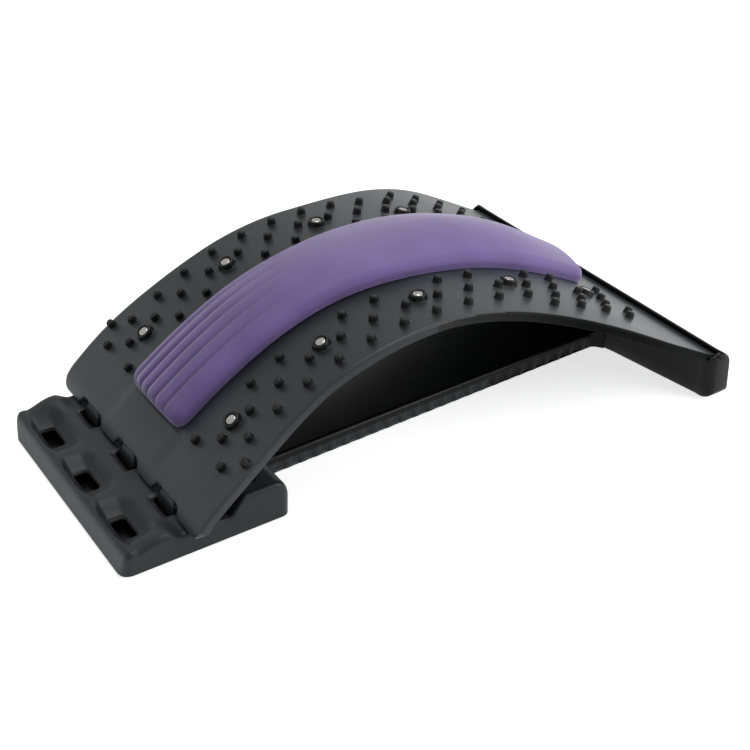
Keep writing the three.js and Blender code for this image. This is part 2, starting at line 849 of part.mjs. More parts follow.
const group = new THREE.Group();
group.add(piece('base_board', baseBoard(), baseFinish));
group.add(piece('arch_board', archBoard(), archFinish));
group.add(piece('spine_pad', padGeometry(), padFinish));

magnetPlaces().forEach((along, place) => {
  for (const [label, side] of [['front', -1], ['back', 1]]) {
    const magnet = piece(`magnet_${label}_${place + 1}`, magnetGeometry(), magnetFinish);
    const { x, z, angle } = onLine(along);
    magnet.position.set(x, side * magnetColumn, z);
    magnet.rotation.y = -angle;
    group.add(magnet);
  }
});

for (const [name, x, y, radius] of rubberPlaces) {
  const foot = piece(name, rubberFoot(radius), rubberFinish);
  foot.position.set(x, y, 0);
  group.add(foot);
}

// The origin sits under the middle of the finished length.
group.position.x = -(baseLeft + barOuter) / 2;

export default group;
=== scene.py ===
# %% [markdown]
# # An arched back stretcher, dressed for its photograph
# The object is two moulded boards, a foam pad, ten magnets and four rubber feet. The packed
# model is the guide. This lesson builds a finer mesh for each piece in its place, in
# millimetres, and then gives each one the finish of its real material.

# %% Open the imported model
import math

import bmesh
import bpy
import numpy as np
from mathutils import Matrix, Vector


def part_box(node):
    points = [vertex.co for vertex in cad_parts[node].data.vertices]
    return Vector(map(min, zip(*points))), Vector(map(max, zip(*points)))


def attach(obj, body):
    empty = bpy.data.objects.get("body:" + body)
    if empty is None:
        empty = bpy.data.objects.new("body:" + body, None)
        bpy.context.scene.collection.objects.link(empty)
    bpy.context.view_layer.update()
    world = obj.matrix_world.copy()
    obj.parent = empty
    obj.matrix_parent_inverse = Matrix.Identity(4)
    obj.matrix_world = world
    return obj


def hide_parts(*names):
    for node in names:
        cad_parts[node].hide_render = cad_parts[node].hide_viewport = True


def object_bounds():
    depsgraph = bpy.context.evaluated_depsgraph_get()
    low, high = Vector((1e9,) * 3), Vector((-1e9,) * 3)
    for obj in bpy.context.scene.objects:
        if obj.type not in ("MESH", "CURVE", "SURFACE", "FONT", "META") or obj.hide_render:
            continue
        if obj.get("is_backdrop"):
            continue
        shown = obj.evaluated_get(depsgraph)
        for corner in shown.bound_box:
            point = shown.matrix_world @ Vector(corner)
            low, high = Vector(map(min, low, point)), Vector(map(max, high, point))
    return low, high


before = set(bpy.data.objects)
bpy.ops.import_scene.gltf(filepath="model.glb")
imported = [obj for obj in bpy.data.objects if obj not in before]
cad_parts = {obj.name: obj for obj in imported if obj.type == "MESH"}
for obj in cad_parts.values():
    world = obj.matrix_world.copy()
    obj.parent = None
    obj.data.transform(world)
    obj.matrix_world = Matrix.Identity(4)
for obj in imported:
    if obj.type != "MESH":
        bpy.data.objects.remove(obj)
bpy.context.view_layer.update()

MM = 0.001
print("pieces in the packed model:", sorted(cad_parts))

# %% [markdown]
# ## Three ways to make a closed skin
# A moulded board is a sheet with a top and an underside. A bar is the same section repeated
# along a line, and a stud is a profile turned round an axis. Modelling these by hand with
# loops would work too, but a grid of points in code keeps every rounding exact, so each
# helper below takes points in millimetres and returns points and faces.


# %% A sheet: two grids joined round their borders
def strip(index):
    """Quads between neighbouring rows and columns of a grid of point numbers."""
    corners = [index[:-1, :-1], index[1:, :-1], index[1:, 1:], index[:-1, 1:]]
    return np.stack(corners, -1).reshape(-1, 4)


def sheet(top, under):
    rows, columns = top.shape[:2]
    above = np.arange(rows * columns).reshape(rows, columns)
    below = above + rows * columns
    faces = [strip(above), strip(below[:, ::-1])]
    for edge in (slice(0, 1), slice(-1, None)):
        faces.append(strip(np.concatenate([above[edge], below[edge]])))
        faces.append(strip(np.concatenate([above[:, edge], below[:, edge]], 1)))
    return np.concatenate([top.reshape(-1, 3), under.reshape(-1, 3)]), np.concatenate(faces)


# %% A loft: one closed ring after another, each end closed with a strip
def loft(rings):
    count, around = rings.shape[:2]
    index = np.arange(count * around).reshape(count, around)
    wrapped = np.concatenate([index, index[:, :1]], 1)
    half = around // 2
    faces = [strip(wrapped)]
    for end in (index[0], index[-1]):
        faces.append(strip(np.stack([end[:half], end[::-1][:half]])))
    return rings.reshape(-1, 3), np.concatenate(faces)


# %% A turned piece: a profile of radius and height, swung round Z
def turned(profile, facets):
    profile = np.array(profile, float)
    angle = np.arange(facets) / facets * 2 * math.pi
    radius, height = profile[:, :1], profile[:, 1:]
    x = radius * np.cos(angle)
    y = radius * np.sin(angle)
    return loft(np.stack([x, y, np.broadcast_to(height, x.shape)], -1))


# %% From points and faces to a Blender object
def piece(name, *shapes, sharp=38):
    """Joins the shapes into one mesh, welds double points and shades it smooth up to an angle."""
    points, faces, count = [], [], 0
    for shape_points, shape_faces in shapes:
        points.append(shape_points)
        faces.extend((shape_faces + count).tolist())
        count += len(shape_points)
    mesh = bpy.data.meshes.new(name)
    mesh.from_pydata((np.concatenate(points) * MM).tolist(), [], faces)
    tidy_mesh(mesh)
    mesh.shade_smooth()
    mesh.set_sharp_from_angle(angle=math.radians(sharp))
    made = bpy.data.objects.new(name, mesh)
    bpy.context.scene.collection.objects.link(made)
    return made


def tidy_mesh(mesh):
    work = bmesh.new()
    work.from_mesh(mesh)
    bmesh.ops.remove_doubles(work, verts=work.verts, dist=0.002 * MM)
    bmesh.ops.dissolve_degenerate(work, edges=work.edges, dist=0.001 * MM)
    bmesh.ops.recalc_face_normals(work, faces=work.faces)
    open_edges = sum(len(edge.link_faces) != 2 for edge in work.edges)
    work.to_mesh(mesh)
    work.free()
    print(mesh.name, "faces", len(mesh.polygons), "open edges", open_edges)


# %% [markdown]
# ## The line that the board follows
# The board leaves the mould flat and springs into an arch when its two ends are hooked in.
# Seen from the side it runs through short straights and smooth arcs that meet without a kink.
# A curve object could carry it, but a small function that walks the same arcs as the packed
# model puts every stud exactly where the model has it.

# %% The arcs of the arch, in mm and degrees
FIRST_X, FIRST_Z = -155.5731, 7.3261
ARCS = [
    (10.0, None, 70.0, 70.0),
    (None, 30.0, 70.0, 40.2),
    (None, 350.0, 40.2, 27.3),
    (None, 183.0, 27.3, 0.0),
    (None, 227.0, 0.0, -19.5),
    (None, 310.0, -19.5, -30.0),
    (56.4, None, -30.0, -30.0),
]


def walk():
    stops = []
    along, x, z = 0.0, FIRST_X, FIRST_Z
    for length, radius, start, end in ARCS:
        a, b = math.radians(start), math.radians(end)
        run = length if radius is None else radius * (a - b)
        stops.append((along, x, z, a, radius or 1e12))
        along += run
        if radius is None:
            x += run * math.cos(a)
            z += run * math.sin(a)
        else:
            x += radius * (math.sin(a) - math.sin(b))
            z += radius * (math.cos(b) - math.cos(a))
    return np.array(stops), along


STOPS, LINE_LENGTH = walk()
CREST = STOPS[4, 0]
print("board length along its line:", round(LINE_LENGTH, 1), "mm, crest at", round(CREST, 1))


# %% The place on the line, with a height above it
def on_line(along, height=0.0):
    along, height = np.broadcast_arrays(np.asarray(along, float), np.asarray(height, float))
    stop = np.clip(np.searchsorted(STOPS[:, 0], along, side="right") - 1, 0, len(STOPS) - 1)
    start, x0, z0, first, radius = STOPS[stop].transpose(-1, *range(along.ndim))
    run = along - start
    angle = first - run / radius
    bent = radius < 1e9
    x = x0 + np.where(bent, radius * (np.sin(first) - np.sin(angle)), run * np.cos(first))
    z = z0 + np.where(bent, radius * (np.cos(angle) - np.cos(first)), run * np.sin(first))
    return x - height * np.sin(angle), z + height * np.cos(angle), angle


def smooth(share):
    t = np.clip(share, 0.0, 1.0)
    return t * t * (3 - 2 * t)


def bent(along, across, height):
    """Points of a flat pattern, bent along the line."""
    x, z, _ = on_line(along, height)
    return np.stack(np.broadcast_arrays(x, across, z), -1)


# %% [markdown]
# ## The arch board
# The real one is an injection moulding about 3 mm thick, with a rim turned down along both
# sides, three tongues at one end and a rolled bead at the other. It could be cut from a solid
# with booleans. Here it is drawn flat as a grid whose columns follow the scalloped end, so its
# edges stay cleanly rounded when the grid is bent along the line.

# %% The sizes of the board
ROW_PITCH = 21.25  # between like rows of studs
WAIST_HALF, TONGUE_END_HALF, LIP_END_HALF = 87.6, 94.3, 124.0  # half widths of the board
TONGUE_HALF, SLOT_SPACING, BAY, BULGE = 9.0, 52.0, 14.6, 9.6
TIP_ROUND, ROOT_ROUND, CORNER_ROUND = 4.0, 2.5, 6.0
WAVE_FROM, WAVE_TO, BULGE_FROM = 12.6, 18.5, 20.0  # off a tongue's middle
STEP_AT, STEP_DROP, TRAY_CLEAR = 16.5, 1.6, 15.8
PLATE, RIM_DEPTH, RIM_WIDTH, RIM_ROUND = 3.0, 5.5, 2.6, 1.6
BEAD, LIP_CORNER = 2.2, 2.5
NARROW_ROWS, LEFT_ROWS, RIGHT_ROWS = 3, 4, 7.4  # where the width changes, in rows from the crest


def half_width(along):
    """Narrowest near the crest, wider toward the tongues, and widest at the lip."""
    left = smooth((CREST - ROW_PITCH * NARROW_ROWS - along) / (ROW_PITCH * LEFT_ROWS))
    right = smooth((along - CREST) / (ROW_PITCH * RIGHT_ROWS))
    corner = np.clip((along - (LINE_LENGTH + BEAD - LIP_CORNER)) / LIP_CORNER, 0, 1)
    wide = (TONGUE_END_HALF - WAIST_HALF) * left + (LIP_END_HALF - WAIST_HALF) * right
    return WAIST_HALF + wide - LIP_CORNER * (1 - np.sqrt(1 - corner ** 2))


# %% The scalloped end, drawn from the middle out to one corner
def arc(centre_x, centre_y, radius, start, end, steps):
    angle = np.radians(np.linspace(start, end, steps))
    return [(centre_x + radius * math.cos(a), centre_y + radius * math.sin(a)) for a in angle]


def wave(start, end, first, last):
    """A soft S from one distance along the board to another, as the line crosses the board."""
    across = np.linspace(start, end, 9)
    return [(first + (last - first) * float(smooth((y - start) / (end - start))), y) for y in across]


def scallop():
    tip, root, side = TIP_ROUND, ROOT_ROUND, TONGUE_HALF
    line = [(0.0, y) for y in np.linspace(0, side - tip - 0.4, 6)]

    def side_out(y):
        near = arc(tip, y - tip, tip, 180, 90, 7)
        far = arc(BAY - root, y + 0.15 + root, root, -90, 0, 5)
        return near + far

    def side_in(y):
        return [(u, 2 * y - v) for u, v in side_out(y)[::-1]]

    line += side_out(side)
    line += wave(WAVE_FROM, WAVE_TO, BAY, BULGE)
    line += [(BULGE, y) for y in np.linspace(BULGE_FROM, SLOT_SPACING - BULGE_FROM, 7)]
    line += wave(SLOT_SPACING - WAVE_TO, SLOT_SPACING - WAVE_FROM, BULGE, BAY)
    line += side_in(SLOT_SPACING - side)
    flat = side - tip - 1
    line += [(0.0, y) for y in np.linspace(SLOT_SPACING - flat, SLOT_SPACING + flat, 6)]
    line += side_out(SLOT_SPACING + side)
    end = TONGUE_END_HALF - RIM_ROUND
    line += wave(SLOT_SPACING + WAVE_FROM, SLOT_SPACING + WAVE_TO, BAY, BULGE)
    line += [(BULGE, y) for y in np.linspace(SLOT_SPACING + BULGE_FROM, end - CORNER_ROUND, 8)]
    line += arc(BULGE + CORNER_ROUND, end - CORNER_ROUND, CORNER_ROUND, 180, 92, 12)[1:]
    return np.array(line)


HALF_SCALLOP = scallop()
SCALLOP = np.concatenate([HALF_SCALLOP[:0:-1] * [1, -1], HALF_SCALLOP])
print("columns across the board:", len(SCALLOP))


# %% The raised panel between the pad and the tongues
PANEL_RISE, PANEL_HALF, PANEL_END = 0.6, 31.0, CREST - 147.1


def panel_height(along, across):
    lead = smooth((along - 13) / 12)
    tail = smooth((PANEL_END + 0.3 - along) / 1.6)
    side = smooth((PANEL_HALF + 4 - np.abs(across)) / 9.0)
    return PANEL_RISE * lead * tail * side


# %% The rim that is turned down along both sides
def rim_depth(along):
    left = smooth((along - 6.2) / 12.4)
    right = smooth((LINE_LENGTH - 19 - along) / 19)
    return PLATE + (RIM_DEPTH - PLATE) * np.minimum(left, right)


def tongue_step(along, across):
    """The tongues are a little thinner than the plate, with a soft wave where they begin."""
    off = np.abs(np.abs(across) - SLOT_SPACING * (np.abs(across) > SLOT_SPACING / 2))
    return STEP_DROP * smooth((15 - off) / 4.0) * smooth((STEP_AT - along) / 1.4)


# Each edge column: distance in from the side, drop of the top face, share of the rim's depth.
EDGE = [(RIM_WIDTH + 1.6, 0, 0.0), (RIM_WIDTH + 0.8, 0, 0.06), (RIM_WIDTH + 0.25, 0, 0.3),
        (RIM_WIDTH, 0, 0.75), (RIM_WIDTH - 0.3, 0, 1.0)]
for turn in np.radians([20, 40, 60, 75, 90]):
    inward = RIM_ROUND * (1 - math.sin(turn))
    drop = RIM_ROUND * (1 - math.cos(turn))
    EDGE.append((inward, drop, 1.0 if inward > 0.35 else 0.86 if inward > 0.01 else 0.62))
EDGE = np.array(EDGE)


# %% The grid's rows: close together at the rounded ends and at the panel's edge
NOSE_TURNS = np.radians([8, 25, 42, 60, 76, 90])
SCALLOP_FADE = 70.0


def board_runs():
    nose = PLATE / 2 * (1 - np.cos(NOSE_TURNS))
    runs = np.concatenate([nose, np.arange(2.5, 20, 0.6), np.arange(20, 44, 1.2), np.arange(44, 52, 0.4),
                           np.arange(52, LINE_LENGTH - 8, 2.0),
                           np.linspace(LINE_LENGTH - 7, LINE_LENGTH - 2.4, 8)])
    bead_runs = LINE_LENGTH + BEAD * np.sin(np.radians(np.linspace(-90, 82, 15)))
    return np.concatenate([runs, bead_runs[bead_runs > runs[-1] + 0.05]])


# %% The board's two faces as grids
def board_faces():
    """The rows start along the scallop and straighten until they cross the board squarely."""
    reach = TONGUE_END_HALF - EDGE[:, 0]
    inner = SCALLOP[np.abs(SCALLOP[:, 1]) < reach[0] - 0.6]
    corner = np.interp(reach, HALF_SCALLOP[-12:, 1], HALF_SCALLOP[-12:, 0])
    starts = np.concatenate([corner[::-1], inner[:, 0], corner])
    shares = inner[:, 1] / reach[0]
    runs = board_runs()[:, None]
    u = np.where(runs < SCALLOP_FADE, starts + runs * (1 - starts / SCALLOP_FADE), runs)
    half = half_width(u)
    left = -(half[:, :len(EDGE)] - EDGE[::-1, 0])
    right = half[:, -len(EDGE):] - EDGE[:, 0]
    middle = (half[:, len(EDGE):-len(EDGE)] - EDGE[0, 0]) * shares
    y = np.concatenate([left, middle, right], 1)
    drop = np.concatenate([EDGE[::-1, 1], np.zeros(len(inner)), EDGE[:, 1]])
    rim = np.concatenate([EDGE[::-1, 2], np.zeros(len(inner)), EDGE[:, 2]])
    high = panel_height(u, y) - drop - tongue_step(u, y)
    low = -(PLATE + (rim_depth(u) - PLATE) * rim)
    squeeze = np.ones(len(runs))
    squeeze[:len(NOSE_TURNS)] = np.sin(NOSE_TURNS)
    middle_height = -PLATE / 2
    high = middle_height + (high - middle_height) * squeeze[:, None]
    low = middle_height + (low - middle_height) * squeeze[:, None]
    swell = np.sqrt(np.clip(BEAD ** 2 - (u - LINE_LENGTH) ** 2, 0, None))
    beyond = u > LINE_LENGTH
    high = np.where(beyond, middle_height + swell, np.maximum(high, middle_height + swell))
    low = np.where(beyond, middle_height - swell, np.minimum(low, middle_height - swell))
    top, under = bent(u, y, high), bent(u, y, low)
    on_tray = starts > BULGE - 0.1
    top[:, on_tray, 2] = np.maximum(top[:, on_tray, 2], TRAY_CLEAR + 0.3)
    under[:, on_tray, 2] = np.maximum(under[:, on_tray, 2], TRAY_CLEAR)
    return top, under


arch_board = piece("arch_board_moulding", sheet(*board_faces()))

# %% [markdown]
# ## Massage points and magnet cups
# The points are blunt studs under 5 mm tall in a staggered lattice, and every third row a
# magnet sits in a low cup in place of the inner point. Instancing would keep the file light,
# but real copies let each one stand square to the curved board. Each base flares out like the
# fillet that a mould needs.

# %% The lattice
INNER_COLUMN, MAGNET_COLUMN, MIDDLE_COLUMN, OUTER_COLUMN, EDGE_COLUMN = 45.0, 57.0, 61.0, 76.0, 88.0
LAST_ROW, MAGNET_STEP, LATTICE_SHIFT, EDGE_COLUMN_ROOM = 7, 3, 5.5, 28


def lattice():
    points, magnets = [], []
    for row in range(-LAST_ROW, LAST_ROW + 1):
        along = CREST + LATTICE_SHIFT + row * ROW_PITCH
        if row % MAGNET_STEP:
            points.append((along, INNER_COLUMN))
        else:
            magnets.append((along, MAGNET_COLUMN))
        points.append((along, OUTER_COLUMN))
        if row == LAST_ROW:
            continue
        between = along + ROW_PITCH / 2
        points.append((between, MIDDLE_COLUMN))
        if row == -LAST_ROW or half_width(between) - OUTER_COLUMN > EDGE_COLUMN_ROOM:
            points.append((between, EDGE_COLUMN))
    return points, magnets


POINT_PLACES, MAGNET_PLACES = lattice()
print("massage points:", 2 * len(POINT_PLACES), "magnets:", 2 * len(MAGNET_PLACES))


# %% Stand a turned shape on the board
def stood(shape, along, across, height=0.0):
    points, faces = shape
    x, z, angle = (float(v) for v in on_line(along, height))
    turn = np.array([[math.cos(angle), 0, -math.sin(angle)],
                     [0, 1, 0],
                     [math.sin(angle), 0, math.cos(angle)]])
    return points @ turn.T + [x, across, z], faces


def copies(shape, places):
    return [stood(shape, along, side * across) for along, across in places for side in (-1, 1)]


# %% Profiles: the fillet at a base, and a rounded edge
AXIS, SINK, BASE = 0.02, 0.8, -0.08  # a closed middle, how deep a shape sits, where its fillet starts


def flare(radius, reach, turns):
    angles = np.radians(turns)
    return [(radius + reach * (1 - math.sin(t)), BASE + reach * (1 - math.cos(t))) for t in angles]


def roll(radius, height, bend, turns):
    return [(radius + bend * math.cos(t), height + bend * math.sin(t)) for t in np.radians(turns)]


# %% One point: flared base, short cone, rounded edge, flat crown
POINT = turned([(AXIS, -SINK), (3.35, -SINK), *flare(2.75, 0.6, [0, 22, 45, 67, 90]), (2.55, 2.0),
                *roll(1.25, 3.3, 1.15, [0, 20, 40, 60, 80]), (0.8, 4.48), (AXIS, 4.5)], 20)
massage_points = piece("massage_points", *copies(POINT, POINT_PLACES))

# %% One cup: flared base, rounded rim, recess for the magnet
CUP = turned([(AXIS, -SINK), (6.1, -SINK), *flare(5.3, 0.8, [0, 30, 60, 90]),
              *roll(4.3, 3.0, 0.8, [0, 30, 60, 90, 120, 150, 180]),
              (3.5, 1.2), (3.4, 1.1), (AXIS, 1.1)], 32)
magnet_cups = piece("magnet_cups", *copies(CUP, MAGNET_PLACES))

# %% Ten magnets: plated discs with a domed face and a rolled edge
MAGNET = turned([(AXIS, 1.4), (2.9, 1.4), (3.2, 1.7), *roll(2.3, 2.6, 0.9, [0, 20, 40, 60, 78]),
                 (1.8, 3.62), (1.2, 3.78), (0.6, 3.88), (AXIS, 3.9)], 32)
magnets = []
for number, (along, across) in enumerate(MAGNET_PLACES, 1):
    for label, side in (("front", -1), ("back", 1)):
        magnet = piece(f"magnet_disc_{label}_{number}", stood(MAGNET, along, side * across))
        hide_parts(f"magnet_{label}_{number}")
        magnets.append(magnet)

# %% [markdown]
# ## The spine pad
# A strip of closed-cell foam is glued along the crest. It is crowned across and fullest past
# the crest, its sides roll under, and lengthwise channels are pressed into its end by the slots
# and fade out before the crest. Cloth simulation suits a stuffed cushion. This is solid foam
# that keeps its moulded shape, so its section is written as a function.

# %% Sizes of the pad
PAD_START, PAD_END, PAD_HALF = CREST - 146.5, CREST + 158.0, 30.5
PAD_SIDE, PAD_CROWN, PAD_CORNER = 8.0, 5.0, 9.0
PAD_FLARE, PAD_FULLER, PAD_GAP = 4.5, 4.0, 0.3
PAD_EDGE = 0.86  # the share of the half width where the side begins to roll under
CHANNELS = [(-17.0, 0.9), (-7.0, 1.1), (3.0, 1.2), (12.5, 1.5), (21.5, 1.0)]
CHANNEL_SOFT, CHANNEL_FADE = 1.9, 125.0


# %% The pad's section as it changes along its length
def pad_faces():
    ends = PAD_CORNER * (1 - np.cos(np.radians([4, 14, 26, 40, 54, 68, 80])))
    middle = np.arange(PAD_START + 9, PAD_END - 8.5, 2.0)
    along = np.concatenate([PAD_START + ends, middle, (PAD_END - ends)[::-1]])
    turns = np.radians(np.linspace(0, 90, 9)[:-1])
    side_shares = 1 - 0.13 * (1 - np.cos(turns))
    inner = np.linspace(-PAD_EDGE, PAD_EDGE, 116)
    shares = np.concatenate([-side_shares, inner, side_shares[::-1]])
    room = np.minimum(along - PAD_START, PAD_END - along)
    inside = np.clip(PAD_CORNER - room, 0, PAD_CORNER)
    corner = PAD_CORNER - np.sqrt(PAD_CORNER ** 2 - inside ** 2)
    widening = smooth((along - CREST + 45) / 90) * smooth((PAD_END - along) / 55)
    fuller = smooth((along - CREST - 5) / 60) * smooth((PAD_END - along) / 70)
    half = (PAD_HALF - corner * 0.8 + PAD_FLARE * widening)[:, None]
    y = half * shares
    end = np.sqrt(1 - np.clip(1 - room / 7.0, 0, 1) ** 2)[:, None]
    edge = np.clip((np.abs(shares) - PAD_EDGE) / 0.14, 0, 1)
    side = PAD_SIDE * (0.42 + 0.58 * np.sqrt(1 - edge ** 2))
    crown = (PAD_CROWN + PAD_FULLER * fuller[:, None]) * (1 - shares ** 2)
    fade = (1 - smooth((along - PAD_START) / CHANNEL_FADE))[:, None] * smooth(room / 4)[:, None]
    groove = sum(depth * np.exp(-((y - place) / CHANNEL_SOFT) ** 2) for place, depth in CHANNELS)
    height = (side + crown - groove * fade) * (0.4 + 0.6 * end)
    waisted = y * (1 - 0.02 * (1 - shares ** 2))
    top = bent(along[:, None], waisted, PAD_GAP + height)
    tucked = np.sign(shares) * np.minimum(np.abs(shares), 0.97)
    under = bent(along[:, None], half * tucked, np.full_like(y, PAD_GAP))
    return top, under


spine_pad = piece("spine_pad_foam", sheet(*pad_faces()), sharp=60)

# %% [markdown]
# ## The base board
# The lower moulding is a slotted tray foot with a cross beam, a narrow waist, and a flared bar
# with a hooked lip. Each of the three is a grid or a loft of its own, because each has its own
# direction. Booleans then weld them into one body and cut the slots, the lip's channel and the
# open cells underneath.

# %% Sizes of the base
# LIFT is the underside, over the rubber feet. BEAD_X and BEAD_Z are the middle of the bead.
LEFT, LIFT, TRAY_TOP, BEAM_TOP, WAIST_TOP = -190.778, 1.0, 15.5, 27.0, 12.5
BEAM_LEFT, BEAM_RIGHT, FOOT_HALF = -114.978, -89.978, 84.5
OUTER, BEAD_X, BEAD_Z = 190.778, 181.378, 27.176
INNER = BEAD_X - 19.0
SLOT_START, SLOT_FLOOR, SLOT_PITCH, SLOT_LEAN = 9.0, 3.0, 24.7, 1.4
TAPER, FOOT_EDGE = 0.045, 3.2


def slot_wall(row):
    return LEFT + SLOT_START + row * SLOT_PITCH


def curve(start, control, end, steps):
    """A quadratic curve through the side view, without its first point."""
    t = np.linspace(0, 1, steps + 1)[1:, None]
    points = (1 - t) ** 2 * np.array(start) + 2 * t * (1 - t) * np.array(control) + t ** 2 * np.array(end)
    return [tuple(point) for point in points]


def rounded(room, radius):
    """How far an outline has drawn in where only this much room is left before its end."""
    inside = np.clip(radius - room, 0, radius)
    return radius - np.sqrt(radius ** 2 - inside ** 2)


# %% The foot's side profile, from the slotted end over the beam
def foot_profile():
    line = [(LEFT + 0.02, LIFT + 0.3), (LEFT + 0.8, LIFT + 3.6), (LEFT + 1.6, LIFT + 7.0),
            (LEFT + 2.2, LIFT + 9.4)]
    line += curve(line[-1], (LEFT + 3.8, TRAY_TOP + 3.2), (LEFT + 10.6, TRAY_TOP), 12)
    line += [(x, TRAY_TOP) for x in np.arange(LEFT + 11.2, BEAM_LEFT - 2, 0.8)]
    rise = BEAM_TOP - TRAY_TOP
    for t in np.linspace(0, 1, 15):
        line.append((BEAM_LEFT - 1 + 11 * t, TRAY_TOP + rise * float(smooth(t ** 0.75))))
    line += [(x, BEAM_TOP) for x in (BEAM_LEFT + 13, BEAM_RIGHT - 10.5, BEAM_RIGHT - 9.5)]
    line += curve(line[-1], (BEAM_RIGHT - 1.5, BEAM_TOP), (BEAM_RIGHT, WAIST_TOP + 1), 14)
    line += [(BEAM_RIGHT, z) for z in (10, 7, 4, LIFT + 0.3)]
    return np.array(line)


# %% Side walls: a broad hump ahead of the board's corner, a low wall behind it, a cheek at the beam
HUMP_RISE, LOW_WALL_RISE = 4.1, 3.5


def wall_height(x, y):
    hump = HUMP_RISE * smooth((x - LEFT - 7) / 19) * smooth((LEFT + 37.5 - x) / 10)
    low_wall = LOW_WALL_RISE * smooth((x - LEFT - 43.5) / 4) * smooth((LEFT + 59 - x) / 2)
    cheek = (BEAM_TOP - TRAY_TOP) * smooth((x - (BEAM_LEFT - 12.5)) / 10.5)
    beside = np.abs(y)
    hump = hump * smooth((beside - 60) / 20)
    low_wall = low_wall * smooth((beside - 69) / 8)
    return hump + low_wall + cheek * smooth((beside - 72.5) / 3)


# %% Soft funnels that lead into the slots
HOLE_LONG, HOLE_CORNER = 8.2, 2.5
HOLE_WIDE, SILL_DROP, SILL_SHIFT = (9.5, 9.7, 9.5), (5.5, 1.0, 5.5), (0.0, 1.8, 0.0)
FUNNEL_REACH = ((6.0, 10.0, 15.0), (1.5, 3.0, 3.0), (3.0, 5.0, 9.0))


def funnel(x, y):
    """The dip round every slot. The middle row, where the tongues sit, has almost none."""
    depth = np.zeros(np.broadcast(x, y).shape)
    for row, (left, right, beside) in enumerate(FUNNEL_REACH):
        x0 = slot_wall(row) + SLOT_LEAN
        beside_x = np.maximum(np.maximum((x0 - x) / left, (x - x0 - HOLE_LONG) / right), 0)
        for middle in (-SLOT_SPACING, 0.0, SLOT_SPACING):
            beside_y = np.maximum(np.abs(y - middle) - HOLE_WIDE[row], 0) / beside
            away = np.sqrt(beside_x ** 2 + beside_y ** 2)
            depth = np.maximum(depth, SILL_DROP[row] * (1 - smooth(away)))
    return depth


# %% The foot as a sheet with high cheeks beside the beam
def foot_faces():
    profile = foot_profile()
    x, z = profile[:, :1], profile[:, 1:]
    turns = np.radians(np.linspace(0, 90, 8))
    edge = FOOT_EDGE * (1 - np.sin(turns))
    drop = FOOT_EDGE * (1 - np.cos(turns))
    inner = np.concatenate([np.linspace(0, 72, 73), np.linspace(72.6, 79, 14), [79.8, 80.6]])
    across = np.concatenate([-(FOOT_HALF - edge)[::-1], -inner[:0:-1], inner, FOOT_HALF - edge])
    sink = np.concatenate([drop[::-1], np.zeros(2 * len(inner) - 1), drop])
    left_room, right_room = x - LEFT, BEAM_RIGHT - x
    squeeze = (FOOT_HALF - rounded(left_room, 7) - rounded(right_room, 5)) / FOOT_HALF
    on_top = (z >= TRAY_TOP - 0.01) & (x < BEAM_LEFT + 11)
    raised = np.where(on_top, np.maximum(z, TRAY_TOP + wall_height(x, across)), z + 0 * across)
    raised = raised - np.where(on_top, funnel(x, across), 0)
    high = np.maximum(raised - sink, np.minimum(z, LIFT + 0.3))
    top_y = across * squeeze * (1 - TAPER * (1 - (high - LIFT) / (BEAM_TOP - LIFT)))
    top = np.stack(np.broadcast_arrays(x, top_y, high), -1)
    floor_x = np.clip(x, LEFT + 0.5, BEAM_RIGHT - 0.5) + 0 * across
    under_y = across * squeeze * (1 - TAPER)
    under = np.stack(np.broadcast_arrays(floor_x, under_y, LIFT), -1)
    return top, under


foot = piece("foot", sheet(*foot_faces()))

# %% The waist: a shallow box with fluted skirts
WAIST_HALF_LEFT, WAIST_NARROWS, WAIST_FLARE = 43, 6, 6
FLUTE_PITCH, FLUTE_DEPTH = 10, 1.1


def waist_rings():
    start, end = BEAM_RIGHT - 4, INNER + 4
    x = np.arange(start, end, 0.9)
    half = WAIST_HALF_LEFT - WAIST_NARROWS * np.clip((x - BEAM_RIGHT) / (INNER - BEAM_RIGHT), 0, 1)
    widening = [np.clip(1 - room / 6, 0, 1) ** 2 for room in (x - BEAM_RIGHT, INNER - x)]
    flare_out = WAIST_FLARE * (widening[0] + widening[1])
    phase = np.abs(((x - BEAM_RIGHT) / FLUTE_PITCH) % 1 - 0.5)
    flute = FLUTE_DEPTH * smooth((0.36 - phase) / 0.12)
    flute = flute * smooth((x - start - 12) / 4) * smooth((end - 12 - x) / 4)
    heights = [LIFT, 2.0, 3.0, 6.4, 7.6, 10.0, 10.8, 11.5, 12.1, 12.4, WAIST_TOP]
    insets = [0.35, 0.3, 0.25, 0.1, 0.0, 0.0, 0.15, 0.5, 1.2, 2.0, 3.0]
    fluted = [0.2, 1.0, 1.0, 1.0, 0.0, 0.0, 0.0, 0.0, 0.0, 0.0, 0.0]
    side = [(half + flare_out - inset - flute * share, height)
            for height, inset, share in zip(heights, insets, fluted)]
    ring = [(-y, z) for y, z in side] + [(y, z) for y, z in side[::-1]]
    return np.stack([np.stack([x, y, np.full_like(x, z)], -1) for y, z in ring], 1)


waist = piece("waist", loft(waist_rings()))


# %% The lip bar, lofted from end to end
BAR_HALF, BAR_NOSE, END_WALL = 127.75, 11, 122
CHANNEL_GAP, LIP_WALL = 0.3, 3.2
LIP_TOP = BEAD_Z + BEAD + CHANNEL_GAP + LIP_WALL


def ramp(x, distance=0.0):
    """The height of the board's last straight, or of a line at a distance under it."""
    slope = math.radians(ARCS[-1][3])
    return BEAD_Z + (x - BEAD_X) * math.tan(slope) - distance / math.cos(slope)


